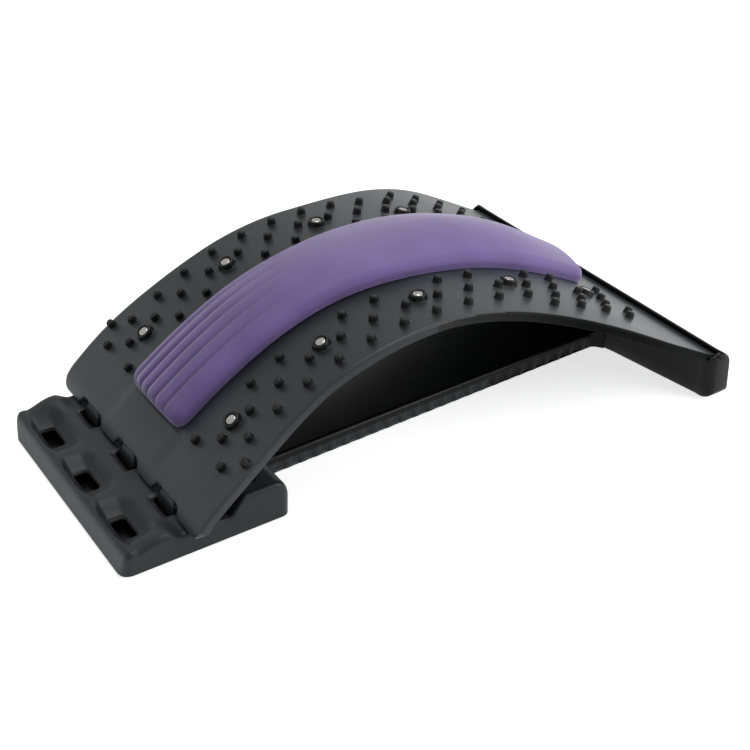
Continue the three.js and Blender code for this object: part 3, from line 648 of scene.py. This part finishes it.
def bar_section(inner, wall):
    """The bar's section in X and Z: up the inner face, over an end wall where wall is 1, over the lip."""
    lip = BEAD_X + 0.8
    line = [(inner + 1.4, LIFT), (inner + 0.5, LIFT + 0.4), (inner, LIFT + 1.4)]
    line += [(inner, LIFT + 1.4 + (ramp(inner) - 1.4 - LIFT) * t) for t in (0.25, 0.5, 0.75, 0.9)]
    line += curve(line[-1], (inner, ramp(inner)), (inner + 2.2, ramp(inner + 2.2)), 4)
    for t in (0.4, 0.55, 0.7, 0.85):
        x = inner + (BEAD_X - inner) * t
        line.append((x, ramp(x) + wall * (LIP_TOP - 1.4 - ramp(x)) * float(smooth((t - 0.3) / 0.5))))
    line += [(BEAD_X, ramp(BEAD_X) + 0.6 + wall * (LIP_TOP - 1.6 - ramp(BEAD_X))), (lip, LIP_TOP - 1.0)]
    line += curve(line[-1], (lip, LIP_TOP), (lip + 1.6, LIP_TOP - 0.6), 4)
    line += [(lip + 3.4, LIP_TOP - 1.9)]
    line += curve((lip + 4.4, LIP_TOP - 2.7), (OUTER, LIP_TOP - 5.4), (OUTER, LIP_TOP - 10.0), 9)
    line += [(OUTER, z) for z in (19, 14, 9, 5, 2.5)]
    line += [(OUTER - 0.4, LIFT + 0.5), (OUTER - 1.3, LIFT)]
    return np.array(line)


def bar_rings():
    """The bar is deepest behind the waist, thins toward its ends, and its ends are rounded."""
    turns = np.radians([12, 24, 36, 47, 57, 66, 74, 81, 87])
    nose = BAR_HALF - BAR_NOSE + BAR_NOSE * np.sin(turns)
    y = np.concatenate([-nose[::-1], np.arange(-116, 116.1, 2.0), nose])
    depth = np.interp(np.abs(y), [38, 43, 50, 116], [19, 18.6, 17, 7.4])
    rings = []
    for across, back in zip(y, depth):
        room = BAR_HALF - abs(across)
        inner = BEAD_X - back
        section = bar_section(inner, float(abs(across) > END_WALL))
        near, far = inner + 5 * rounded(room, 9) / 9, OUTER - 2.4 * rounded(room, 3.5) / 3.5
        low, high = LIFT + 6 * rounded(room, 8) / 8, LIP_TOP - 2.4 * rounded(room, 3) / 3
        section[:, 0] = near + (section[:, 0] - inner) * (far - near) / (OUTER - inner)
        section[:, 1] = low + (section[:, 1] - LIFT) * (high - low) / (LIP_TOP - LIFT)
        rings.append(np.stack([section[:, 0], np.full(len(section), across), section[:, 1]], -1))
    return np.array(rings)


bar = piece("bar", loft(bar_rings()))

# %% [markdown]
# ## Slots, channel and cells
# A slot's mouth is rounded where the board's tongue slides in. Bevelling the cut edge after a
# boolean is fragile, so each cutter flares at its mouth, and the cut comes out rounded.

# %% Cutters
def box_outline(x0, x1, y0, y1, corner, grow=0.0):
    x0, x1, y0, y1, corner = x0 - grow, x1 + grow, y0 - grow, y1 + grow, corner + grow
    centres = [(x1 - corner, y1 - corner, 0), (x0 + corner, y1 - corner, 90),
               (x0 + corner, y0 + corner, 180), (x1 - corner, y0 + corner, 270)]
    outline = []
    for cx, cy, start in centres:
        outline += arc(cx, cy, corner, start, start + 90, 7)
    return np.array(outline)


def stacked(levels):
    return loft(np.array([np.column_stack([outline, np.full(len(outline), z)]) for outline, z in levels]))


def slot_cutter(row, across):
    """A hole that widens below its sill, with the sill's edge eased into the funnel."""
    x0, wide = slot_wall(row) + SLOT_LEAN, HOLE_WIDE[row]
    sill = TRAY_TOP - SILL_DROP[row]
    near, far = x0 + SILL_SHIFT[row], x0 + HOLE_LONG + SILL_SHIFT[row] / 2
    pocket = box_outline(x0 - 0.6, x0 + 14, across - 12, across + 12, HOLE_CORNER)
    levels = [(pocket, SLOT_FLOOR), (pocket, sill - 3.2)]
    for t in np.radians(np.linspace(0, 90, 7)):
        mouth = box_outline(near, far, across - wide, across + wide, HOLE_CORNER, 1.4 * (1 - math.cos(t)))
        levels.append((mouth, sill - 1.6 + 1.6 * math.sin(t)))
    levels.append((box_outline(near, far, across - wide, across + wide, HOLE_CORNER, 1.5), sill + 0.6))
    return stacked(levels)


def channel_cutter():
    """The bead's round channel and the room over it, from just past one end of the lip to the other."""
    radius, under = BEAD + CHANNEL_GAP, PLATE / 2 + 0.8
    first = math.radians(180 + ARCS[-1][3]) + math.asin(under / radius)
    last = 2 * math.pi + math.acos(0.8 / radius)
    line = [(INNER - 12, ramp(INNER - 12, under))]
    for a in np.linspace(first, last, 25):
        line.append((BEAD_X + radius * math.cos(a), BEAD_Z + radius * math.sin(a)))
    line += [(BEAD_X + 0.8, BEAD_Z + 9), (INNER - 12, ramp(INNER - 12, -9))]
    x, z = np.array(line).T
    half = LIP_END_HALF + 2 * CHANNEL_GAP
    return loft(np.array([np.column_stack([x, np.full(len(x), y), z]) for y in (-half, half)]))


def cell(x0, x1, y0, y1, top):
    outline = box_outline(x0, x1, y0, y1, 1.5)
    crown = box_outline(x0, x1, y0, y1, 1.5, -0.7)
    return stacked([(outline, LIFT - 4), (outline, top - 0.8), (crown, top)])


# %% The open cells underneath
RIB, BEAM_CELLS, WAIST_CELLS, BAR_CELLS = 2, 6, 7, 4


def cells():
    """Cells in the beam, between the slots, in the waist and in the bar, with ribs between them."""
    found = []
    edge = FOOT_HALF - 7.5
    width = (2 * edge - RIB * (BEAM_CELLS - 1)) / BEAM_CELLS
    for number in range(BEAM_CELLS):
        y = -edge + number * (width + RIB)
        found.append(cell(BEAM_LEFT + 6, BEAM_RIGHT - 3.5, y, y + width, BEAM_TOP - 8))
    for row in range(3):
        x = slot_wall(row) + SLOT_LEAN
        found += [cell(x, x + 20.7, y, y + 20, TRAY_TOP - 8) for y in (16, -36)]
    length = (INNER - BEAM_RIGHT - RIB - RIB * WAIST_CELLS) / WAIST_CELLS
    for number in range(WAIST_CELLS):
        x = BEAM_RIGHT + RIB + number * (length + RIB)
        found += [cell(x, x + length, y, y + 31.8, WAIST_TOP - 2.5) for y in (1, -32.8)]
    for number in range(BAR_CELLS):
        near = 1 + number * 20
        x = INNER + 11.6 * (near + 18) / 116 + 5
        found += [cell(x, OUTER - 2.5, y, y + 18, 22.2) for y in (near, -near - 18)]
    return found


# %% Weld and cut
def boolean(target, other, operation):
    cut = target.modifiers.new(operation.lower(), "BOOLEAN")
    cut.operation, cut.solver, cut.object = operation, "MANIFOLD", other
    bpy.context.view_layer.update()
    solved = target.evaluated_get(bpy.context.evaluated_depsgraph_get())
    done = bpy.data.meshes.new_from_object(solved)
    target.modifiers.clear()
    target.data = done
    bpy.data.objects.remove(other)


base_board = foot
base_board.name = "base_board_moulding"
for part in (waist, bar):
    boolean(base_board, part, "UNION")
MIDDLES = (-SLOT_SPACING, 0.0, SLOT_SPACING)
slots = [slot_cutter(row, across) for row in range(3) for across in MIDDLES]
boolean(base_board, piece("cutters", *slots, *cells()), "DIFFERENCE")
boolean(base_board, piece("channel", channel_cutter()), "DIFFERENCE")
base_board.data.name = "base_board_moulding"
base_board.data.shade_smooth()
base_board.data.set_sharp_from_angle(angle=math.radians(38))
print("base board faces:", len(base_board.data.polygons))

# %% [markdown]
# ## Rubber feet
# Four stick-on bumpers carry the base. They are short turned pads with a rounded edge, and
# their tops reach a little way into the moulding, as if each sat in a shallow seat.

# %% Four feet
def bumper_profile(radius):
    return [(AXIS, 0), (radius - 0.5, 0), (radius - 0.2, 0.08), (radius - 0.02, 0.3), (radius, 0.6),
            (radius, 1.3), (AXIS, 1.3)]


rubber_feet = []
for name in ("foot_left_front", "foot_left_back", "foot_right_front", "foot_right_back"):
    low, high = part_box(name)
    points, faces = turned(bumper_profile((high.x - low.x) / 2 / MM), 32)
    centre = np.array((low + high) / 2) / MM * [1, 1, 0]
    bumper = piece(f"{name}_bumper", (points + centre, faces))
    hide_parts(name)
    rubber_feet.append(bumper)

# %% [markdown]
# ## Materials
# Each finish is built from a few nodes. Colours are written as sRGB hex, as a designer would
# note them, and one function turns them to linear. Every pattern takes the object's own
# coordinates, in metres, so a scale is one over the real size of the pattern.

# %% Colour and node helpers
def colour(code):
    parts = [int(code[i:i + 2], 16) / 255 for i in (1, 3, 5)]
    return tuple(v / 12.92 if v <= 0.04045 else ((v + 0.055) / 1.055) ** 2.4 for v in parts) + (1.0,)


def add_node(tree, kind, settings=None, links=None):
    """Adds one node, sets its options and sockets, and links outputs into its sockets."""
    node = tree.nodes.new(kind)
    for key, value in (settings or {}).items():
        if isinstance(key, int) or key in node.inputs:
            node.inputs[key].default_value = value
        else:
            setattr(node, key, value)
    for key, source in (links or {}).items():
        tree.links.new(source, node.inputs[key])
    return node


def math_node(tree, operation, *values):
    """A sum on one or two values, each an output of another node or a plain number."""
    plain = {place: value for place, value in enumerate(values) if isinstance(value, float)}
    linked = {place: value for place, value in enumerate(values) if place not in plain}
    return add_node(tree, "ShaderNodeMath", {"operation": operation, **plain}, linked).outputs[0]


def new_material(name):
    material = bpy.data.materials.new(name)
    material.use_nodes = True
    material.node_tree.nodes.clear()
    return material, material.node_tree


def finish_material(tree, shader):
    add_node(tree, "ShaderNodeOutputMaterial", links={"Surface": shader.outputs[0]})


# %% Two shades mixed by a soft cloud, and a fine grain for bumps
def mottled(tree, dark, light, cloud_mm, grain_mm):
    place = add_node(tree, "ShaderNodeTexCoord").outputs["Object"]
    cloud = add_node(tree, "ShaderNodeTexNoise", {"Scale": 1 / (cloud_mm * MM), "Detail": 4.0},
                     {"Vector": place})
    tint = add_node(tree, "ShaderNodeValToRGB", links={"Fac": cloud.outputs["Fac"]})
    tint.color_ramp.elements[0].position, tint.color_ramp.elements[1].position = 0.3, 0.7
    tint.color_ramp.elements[0].color, tint.color_ramp.elements[1].color = colour(dark), colour(light)
    grain = add_node(tree, "ShaderNodeTexNoise", {"Scale": 1 / (grain_mm * MM), "Detail": 2.0},
                     {"Vector": place})
    return place, cloud, tint, grain


# %% [markdown]
# ### Moulded ABS
# Both boards are ABS coloured through with carbon black. The steel mould is spark eroded, which
# prints a fine matt grain on the board and the foot, and it is polished for the waist and the
# bar. The waist and the bar also take a darker colour than the foot, as painted shade, and so do
# the insides of the slots. Studs and cups are satin. The tongues and the board's rim toward the
# bar take the same near-black satin as painted shade, and the rim's reflection fades out toward
# the bar as painted shade too. Grain that fine would vanish at this distance, so it is drawn at
# about twice its real size. Where studs stand close together, little light reaches the plate
# between them, and a darker ramp along the board is painted as that shade.

# %% Moulded ABS, spark eroded or polished
STUD_FIELD = (0.14, 0.36, 0.48, 0.62)  # shares of the length: clear, dark from, dark to, clear again
# Painted shade: the rim's reflection fades out between these two places along X.
RIM_REFLECTION_SHADE_FROM, RIM_REFLECTION_SHADE_TO = 0.01, 0.09  # metres along X


def moulded_abs(name, dark, light, roughness, grain_mm, depth_mm, specular, field=1.0, far=None):
    """A field under 1 darkens the plate among the studs, as painted shade. Far is the specular level at
    the bar, where the reflection is faded out as painted shade.
    """
    material, tree = new_material(name)
    place, cloud, tint, grain = mottled(tree, dark, light, 35.0, grain_mm)
    bump = add_node(tree, "ShaderNodeBump", {"Strength": 0.6, "Distance": depth_mm * MM},
                    {"Height": grain.outputs["Fac"]})
    gloss = add_node(tree, "ShaderNodeMapRange", {"To Min": roughness - 0.05, "To Max": roughness + 0.06},
                     {"Value": cloud.outputs["Fac"]})
    parts = add_node(tree, "ShaderNodeSeparateXYZ", links={"Vector": place}).outputs
    share = add_node(tree, "ShaderNodeMapRange", {"From Min": -0.19, "From Max": 0.19},
                     {"Value": parts["X"]})
    shade = add_node(tree, "ShaderNodeValToRGB", links={"Fac": share.outputs["Result"]})
    shade.color_ramp.interpolation = "EASE"
    stops = shade.color_ramp.elements
    stops[0].position, stops[1].position = STUD_FIELD[:2]
    ramp_stops = (stops[0], stops[1], stops.new(STUD_FIELD[2]), stops.new(STUD_FIELD[3]))
    for stop, value in zip(ramp_stops, (1.0, field, field, 1.0)):
        stop.color = (value, value, value, 1.0)
    tone = add_node(tree, "ShaderNodeMix", {"data_type": "RGBA", "blend_type": "MULTIPLY", "Factor": 1.0},
                    {6: tint.outputs["Color"], 7: shade.outputs["Color"]})
    shader = add_node(tree, "ShaderNodeBsdfPrincipled", {"IOR": 1.52, "Specular IOR Level": specular},
                      {"Base Color": tone.outputs[2], "Roughness": gloss.outputs["Result"],
                       "Normal": bump.outputs["Normal"]})
    # Painted shade: the specular level falls along X to far, so the reflection fades out toward the bar.
    if far is not None:
        fade = add_node(tree, "ShaderNodeMapRange",
                        {"From Min": RIM_REFLECTION_SHADE_FROM, "From Max": RIM_REFLECTION_SHADE_TO, "To Min": specular, "To Max": far},
                        {"Value": parts["X"]})
        tree.links.new(fade.outputs["Result"], shader.inputs["Specular IOR Level"])
    finish_material(tree, shader)
    return material


# Charcoal board, black foot, polished waist and bar darkened as painted shade, satin studs, and
# the near-black satin painted as shade on the tongues and the rim.
board_abs = moulded_abs("spark_eroded_abs", "#2a3033", "#31383b", 0.40, 0.45, 0.04, 0.3, field=0.3)
foot_abs = moulded_abs("spark_eroded_black_abs", "#15191d", "#1b1f23", 0.46, 0.45, 0.05, 0.25)
# The polished finish sets the roughness. Its colour, darker than the foot's, is painted shade.
polished_shaded_abs = moulded_abs("polished_black_shaded_abs", "#080809", "#0c0c0d", 0.30, 0.8, 0.01, 0.14)
stud_abs = moulded_abs("satin_black_abs", "#060607", "#0a0b0c", 0.42, 0.4, 0.02, 0.22)
# Painted shade: the rim toward the bar is near black, and its reflection fades out.
rim_shade_abs = moulded_abs("satin_black_rim_shade_abs", "#060607", "#08090a", 0.45, 0.4, 0.02, 0.22, far=0.04)

# %% [markdown]
# ### Closed-cell foam
# The pad is EVA foam with a smooth moulded skin: matt, faintly velvety at grazing angles, with
# cells too small to see except as a soft mottling. Ambient occlusion could darken its channels.
# A tint by the distance from each channel's middle does it with less noise.

# %% Purple EVA foam
def channel_shade(tree, place):
    """Little light reaches the floor of a channel, so the foam there is a shade deeper."""
    parts = add_node(tree, "ShaderNodeSeparateXYZ", links={"Vector": place}).outputs
    nearest = None
    for middle, _ in CHANNELS:
        aside = math_node(tree, "SUBTRACT", parts["Y"], middle * MM)
        aside = math_node(tree, "ABSOLUTE", aside)
        nearest = aside if nearest is None else math_node(tree, "MINIMUM", aside, nearest)
    floor_share = add_node(tree, "ShaderNodeMapRange",
                           {"interpolation_type": "SMOOTHSTEP", "From Min": 0.3 * MM,
                            "From Max": 2.6 * MM, "To Min": 1.0, "To Max": 0.0}, {"Value": nearest})
    ends = (PAD_START, PAD_START + CHANNEL_FADE * 0.8)
    start, end = (float(on_line(along)[0]) * MM for along in ends)
    fade = add_node(tree, "ShaderNodeMapRange",
                    {"From Min": start, "From Max": end, "To Min": 0.5, "To Max": 0.0},
                    {"Value": parts["X"]})
    return math_node(tree, "MULTIPLY", floor_share.outputs["Result"], fade.outputs["Result"])


def eva_foam():
    material, tree = new_material("eva_foam_purple")
    place, _, tint, grain = mottled(tree, "#604d83", "#6a5691", 22.0, 0.8)
    deep = add_node(tree, "ShaderNodeMix",
                    {"data_type": "RGBA", "blend_type": "MULTIPLY", 7: colour("#4a4060")},
                    {"Factor": channel_shade(tree, place), 6: tint.outputs["Color"]})
    bump = add_node(tree, "ShaderNodeBump", {"Strength": 0.35, "Distance": 0.05 * MM},
                    {"Height": grain.outputs["Fac"]})
    shader = add_node(tree, "ShaderNodeBsdfPrincipled",
                      {"IOR": 1.45, "Roughness": 0.62, "Sheen Weight": 0.5, "Sheen Roughness": 0.5,
                       "Specular IOR Level": 0.25},
                      {"Base Color": deep.outputs[2], "Normal": bump.outputs["Normal"]})
    finish_material(tree, shader)
    return material


# %% Nickel plate and rubber
def nickel_plate():
    """Nickel over a pressed magnet: near mirror, with a faint uneven grain, and a colour darker than
    bright nickel as painted shade in its reflections.
    """
    material, tree = new_material("nickel_plate_painted_shade")
    # Painted shade: the nickel colour is kept darker than bright nickel, which dims its reflections.
    _, cloud, tint, grain = mottled(tree, "#8f8e8a", "#a5a39f", 2.5, 0.25)
    bump = add_node(tree, "ShaderNodeBump", {"Strength": 0.15, "Distance": 0.02 * MM},
                    {"Height": grain.outputs["Fac"]})
    gloss = add_node(tree, "ShaderNodeMapRange", {"To Min": 0.10, "To Max": 0.22},
                     {"Value": cloud.outputs["Fac"]})
    shader = add_node(tree, "ShaderNodeBsdfPrincipled", {"Metallic": 1.0},
                      {"Base Color": tint.outputs["Color"], "Roughness": gloss.outputs["Result"],
                       "Normal": bump.outputs["Normal"]})
    finish_material(tree, shader)
    return material


def black_rubber():
    """Moulded rubber bumpers: matt, slightly dusty."""
    material, tree = new_material("moulded_rubber")
    _, _, tint, grain = mottled(tree, "#141414", "#1f1f1e", 4.0, 0.5)
    bump = add_node(tree, "ShaderNodeBump", {"Strength": 0.5, "Distance": 0.05 * MM},
                    {"Height": grain.outputs["Fac"]})
    shader = add_node(tree, "ShaderNodeBsdfPrincipled", {"IOR": 1.52, "Roughness": 0.85},
                      {"Base Color": tint.outputs["Color"], "Normal": bump.outputs["Normal"]})
    finish_material(tree, shader)
    return material


# %% Dress each piece
# The rim's painted shade begins at this place along X and widens over this distance.
SKIRT_END, RIM_SHADE_FROM, RIM_SHADE_FADE = 75.0, 5, 70
ROOT_X = float(on_line(BAY + 0.4)[0])


def dress(made, *finishes):
    made.data.materials.clear()
    for finish in finishes:
        made.data.materials.append(finish)


def base_finish(face):
    """Grained foot and sides of the skirts, and a polished finish on the waist and the bar, whose darker
    colour is painted shade there and on the insides of the slots.
    """
    x, y, z = (v / MM for v in face.center)
    row = min(int((x - slot_wall(0) + 2) // SLOT_PITCH), 2)
    # Painted shade: the insides of the slots take the darker polished colour.
    shaded_slot = LEFT + 8 < x < BEAM_LEFT - 2 and abs(y) < 68 and z < TRAY_TOP - SILL_DROP[row] + 0.2
    skirt = x < SKIRT_END and z < LIFT + 7 and abs(face.normal.y) > 0.5
    # Painted shade: the waist and the bar take the darker polished colour, and the sides of the skirts
    # keep the foot's colour.
    return int((x > BEAM_RIGHT + 6 and not skirt) or shaded_slot)


def board_finish(face):
    """Grained plate, with near-black satin painted as shade on the tongues and on a rim band that wraps
    round further toward the bar.
    """
    x, y, z = (v / MM for v in face.center)
    off = abs(abs(y) - SLOT_SPACING * (abs(y) > SLOT_SPACING / 2))
    # Painted shade: the tongues take the near-black satin.
    shaded_tongue = x < ROOT_X and off < TONGUE_HALF + 0.4 and z < TRAY_TOP + 6
    # Painted shade: a rim band that widens toward the bar takes the near-black satin.
    side_on = 0.95 - 0.7 * float(smooth((x - RIM_SHADE_FROM) / RIM_SHADE_FADE))
    rim = abs(face.normal.y) > side_on and x > RIM_SHADE_FROM
    return 2 if rim else int(shaded_tongue)


dress(base_board, foot_abs, polished_shaded_abs)
for face in base_board.data.polygons:
    face.material_index = base_finish(face)
dress(arch_board, board_abs, stud_abs, rim_shade_abs)
for face in arch_board.data.polygons:
    face.material_index = board_finish(face)
foam, nickel, rubber = eva_foam(), nickel_plate(), black_rubber()
dress(massage_points, stud_abs)
dress(magnet_cups, stud_abs)
dress(spine_pad, foam)
for magnet in magnets:
    dress(magnet, nickel)
for bumper in rubber_feet:
    dress(bumper, rubber)
for made in (base_board, arch_board):
    print(made.name, "finishes:", [finish.name for finish in made.data.materials])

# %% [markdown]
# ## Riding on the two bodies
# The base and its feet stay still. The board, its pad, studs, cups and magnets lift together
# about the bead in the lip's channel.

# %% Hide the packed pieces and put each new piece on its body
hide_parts("base_board")
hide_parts("arch_board")
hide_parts("spine_pad")
RIDERS = [(base_board, "base", "base_plastic"), (arch_board, "arch", "board_plastic"),
          (massage_points, "arch", "board_plastic"), (magnet_cups, "arch", "board_plastic"),
          (spine_pad, "arch", "pad_foam")]
RIDERS += [(magnet, "arch", "magnet_metal") for magnet in magnets]
RIDERS += [(bumper, "base", "foot_rubber") for bumper in rubber_feet]
for made, body, slot in RIDERS:
    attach(made, body)
print("pieces:", len(RIDERS))

# %% [markdown]
# ## The studio
# The photograph has a white ground and soft light from above. A pale floor keeps the object's
# shadow, and extra brightness that only the camera and reflections see brings it to white.

# %% Floor
FLOOR_LIFT, FLOOR_REACH, AMBIENT = 0.70, 6.0, 0.36


def seen(tree):
    """1 for a ray from the camera, off a glossy surface or through a clear one, and 0 for the rest."""
    rays = add_node(tree, "ShaderNodeLightPath").outputs
    first = math_node(tree, "MAXIMUM", rays["Is Camera Ray"], rays["Is Glossy Ray"])
    return math_node(tree, "MAXIMUM", first, rays["Is Transmission Ray"])


def pale_floor():
    material, tree = new_material("studio_floor")
    lift = math_node(tree, "MULTIPLY", seen(tree), FLOOR_LIFT)
    matt = add_node(tree, "ShaderNodeBsdfDiffuse", {"Color": (0.86, 0.86, 0.86, 1)})
    glow = add_node(tree, "ShaderNodeEmission", {"Color": (1, 1, 1, 1)}, {"Strength": lift})
    both = add_node(tree, "ShaderNodeAddShader", links={0: matt.outputs[0], 1: glow.outputs[0]})
    finish_material(tree, both)
    return material


floor_mesh = bpy.data.meshes.new("floor")
corners = [(FLOOR_REACH * x, FLOOR_REACH * y, 0) for x, y in ((-1, -1), (1, -1), (1, 1), (-1, 1))]
floor_mesh.from_pydata(corners, [], [(0, 1, 2, 3)])
floor_mesh.materials.append(pale_floor())
floor = bpy.data.objects.new("floor", floor_mesh)
bpy.context.scene.collection.objects.link(floor)
floor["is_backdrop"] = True

# %% World and lamps
world = bpy.data.worlds.new("studio")
bpy.context.scene.world = world
world.use_nodes = True
world.node_tree.nodes.clear()
ambient = add_node(world.node_tree, "ShaderNodeMix", {"data_type": "FLOAT", "A": AMBIENT, "B": 1.0},
                   {"Factor": seen(world.node_tree)})
sky = add_node(world.node_tree, "ShaderNodeBackground", {"Color": (1, 1, 1, 1)},
               {"Strength": ambient.outputs[0]})
add_node(world.node_tree, "ShaderNodeOutputWorld", links={"Surface": sky.outputs[0]})


def lamp(name, place, target, size, watts):
    light = bpy.data.lights.new(name, "AREA")
    light.shape, light.size, light.energy = "DISK", size, watts
    made = bpy.data.objects.new(name, light)
    made.location = place
    made.rotation_euler = (Vector(target) - Vector(place)).to_track_quat("-Z", "Y").to_euler()
    bpy.context.scene.collection.objects.link(made)


lamp("soft_top", (0.35, 0.15, 1.35), (0.0, 0.0, 0.05), 0.8, 8.5)
lamp("soft_front", (0.80, -0.90, 0.55), (0.0, 0.0, 0.05), 0.8, 10.0)

# %% Camera
# The view was solved together with the arch's shape from the photograph's outline.
AZIMUTH, ELEVATION, ROLL = (math.radians(v) for v in (-30.8, 32.2, -2.2))
CAMERA_AT = (-0.37134, -0.6491, 0.4874)
SENSOR, FOCAL_PIXELS, PHOTO_PIXELS = 36.0, 1437.8, 750
back = Vector((math.sin(AZIMUTH) * math.cos(ELEVATION), -math.cos(AZIMUTH) * math.cos(ELEVATION),
               math.sin(ELEVATION)))
right = Vector((math.cos(AZIMUTH), math.sin(AZIMUTH), 0))
up = back.cross(right)
camera_data = bpy.data.cameras.new("camera")
camera_data.sensor_width, camera_data.lens = SENSOR, SENSOR * FOCAL_PIXELS / PHOTO_PIXELS
camera_data.clip_start, camera_data.clip_end = 0.05, 20.0
camera = bpy.data.objects.new("camera", camera_data)
turned_right = right * math.cos(ROLL) + up * math.sin(ROLL)
turned_up = up * math.cos(ROLL) - right * math.sin(ROLL)
camera.matrix_world = Matrix((
    (turned_right.x, turned_up.x, back.x, CAMERA_AT[0]),
    (turned_right.y, turned_up.y, back.y, CAMERA_AT[1]),
    (turned_right.z, turned_up.z, back.z, CAMERA_AT[2]),
    (0, 0, 0, 1),
))
bpy.context.scene.collection.objects.link(camera)
bpy.context.scene.camera = camera
bpy.context.scene.view_settings.view_transform = "Standard"

# %% Measure and finish
low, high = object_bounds()
print("visual size in mm:", [round(v / MM, 1) for v in high - low])
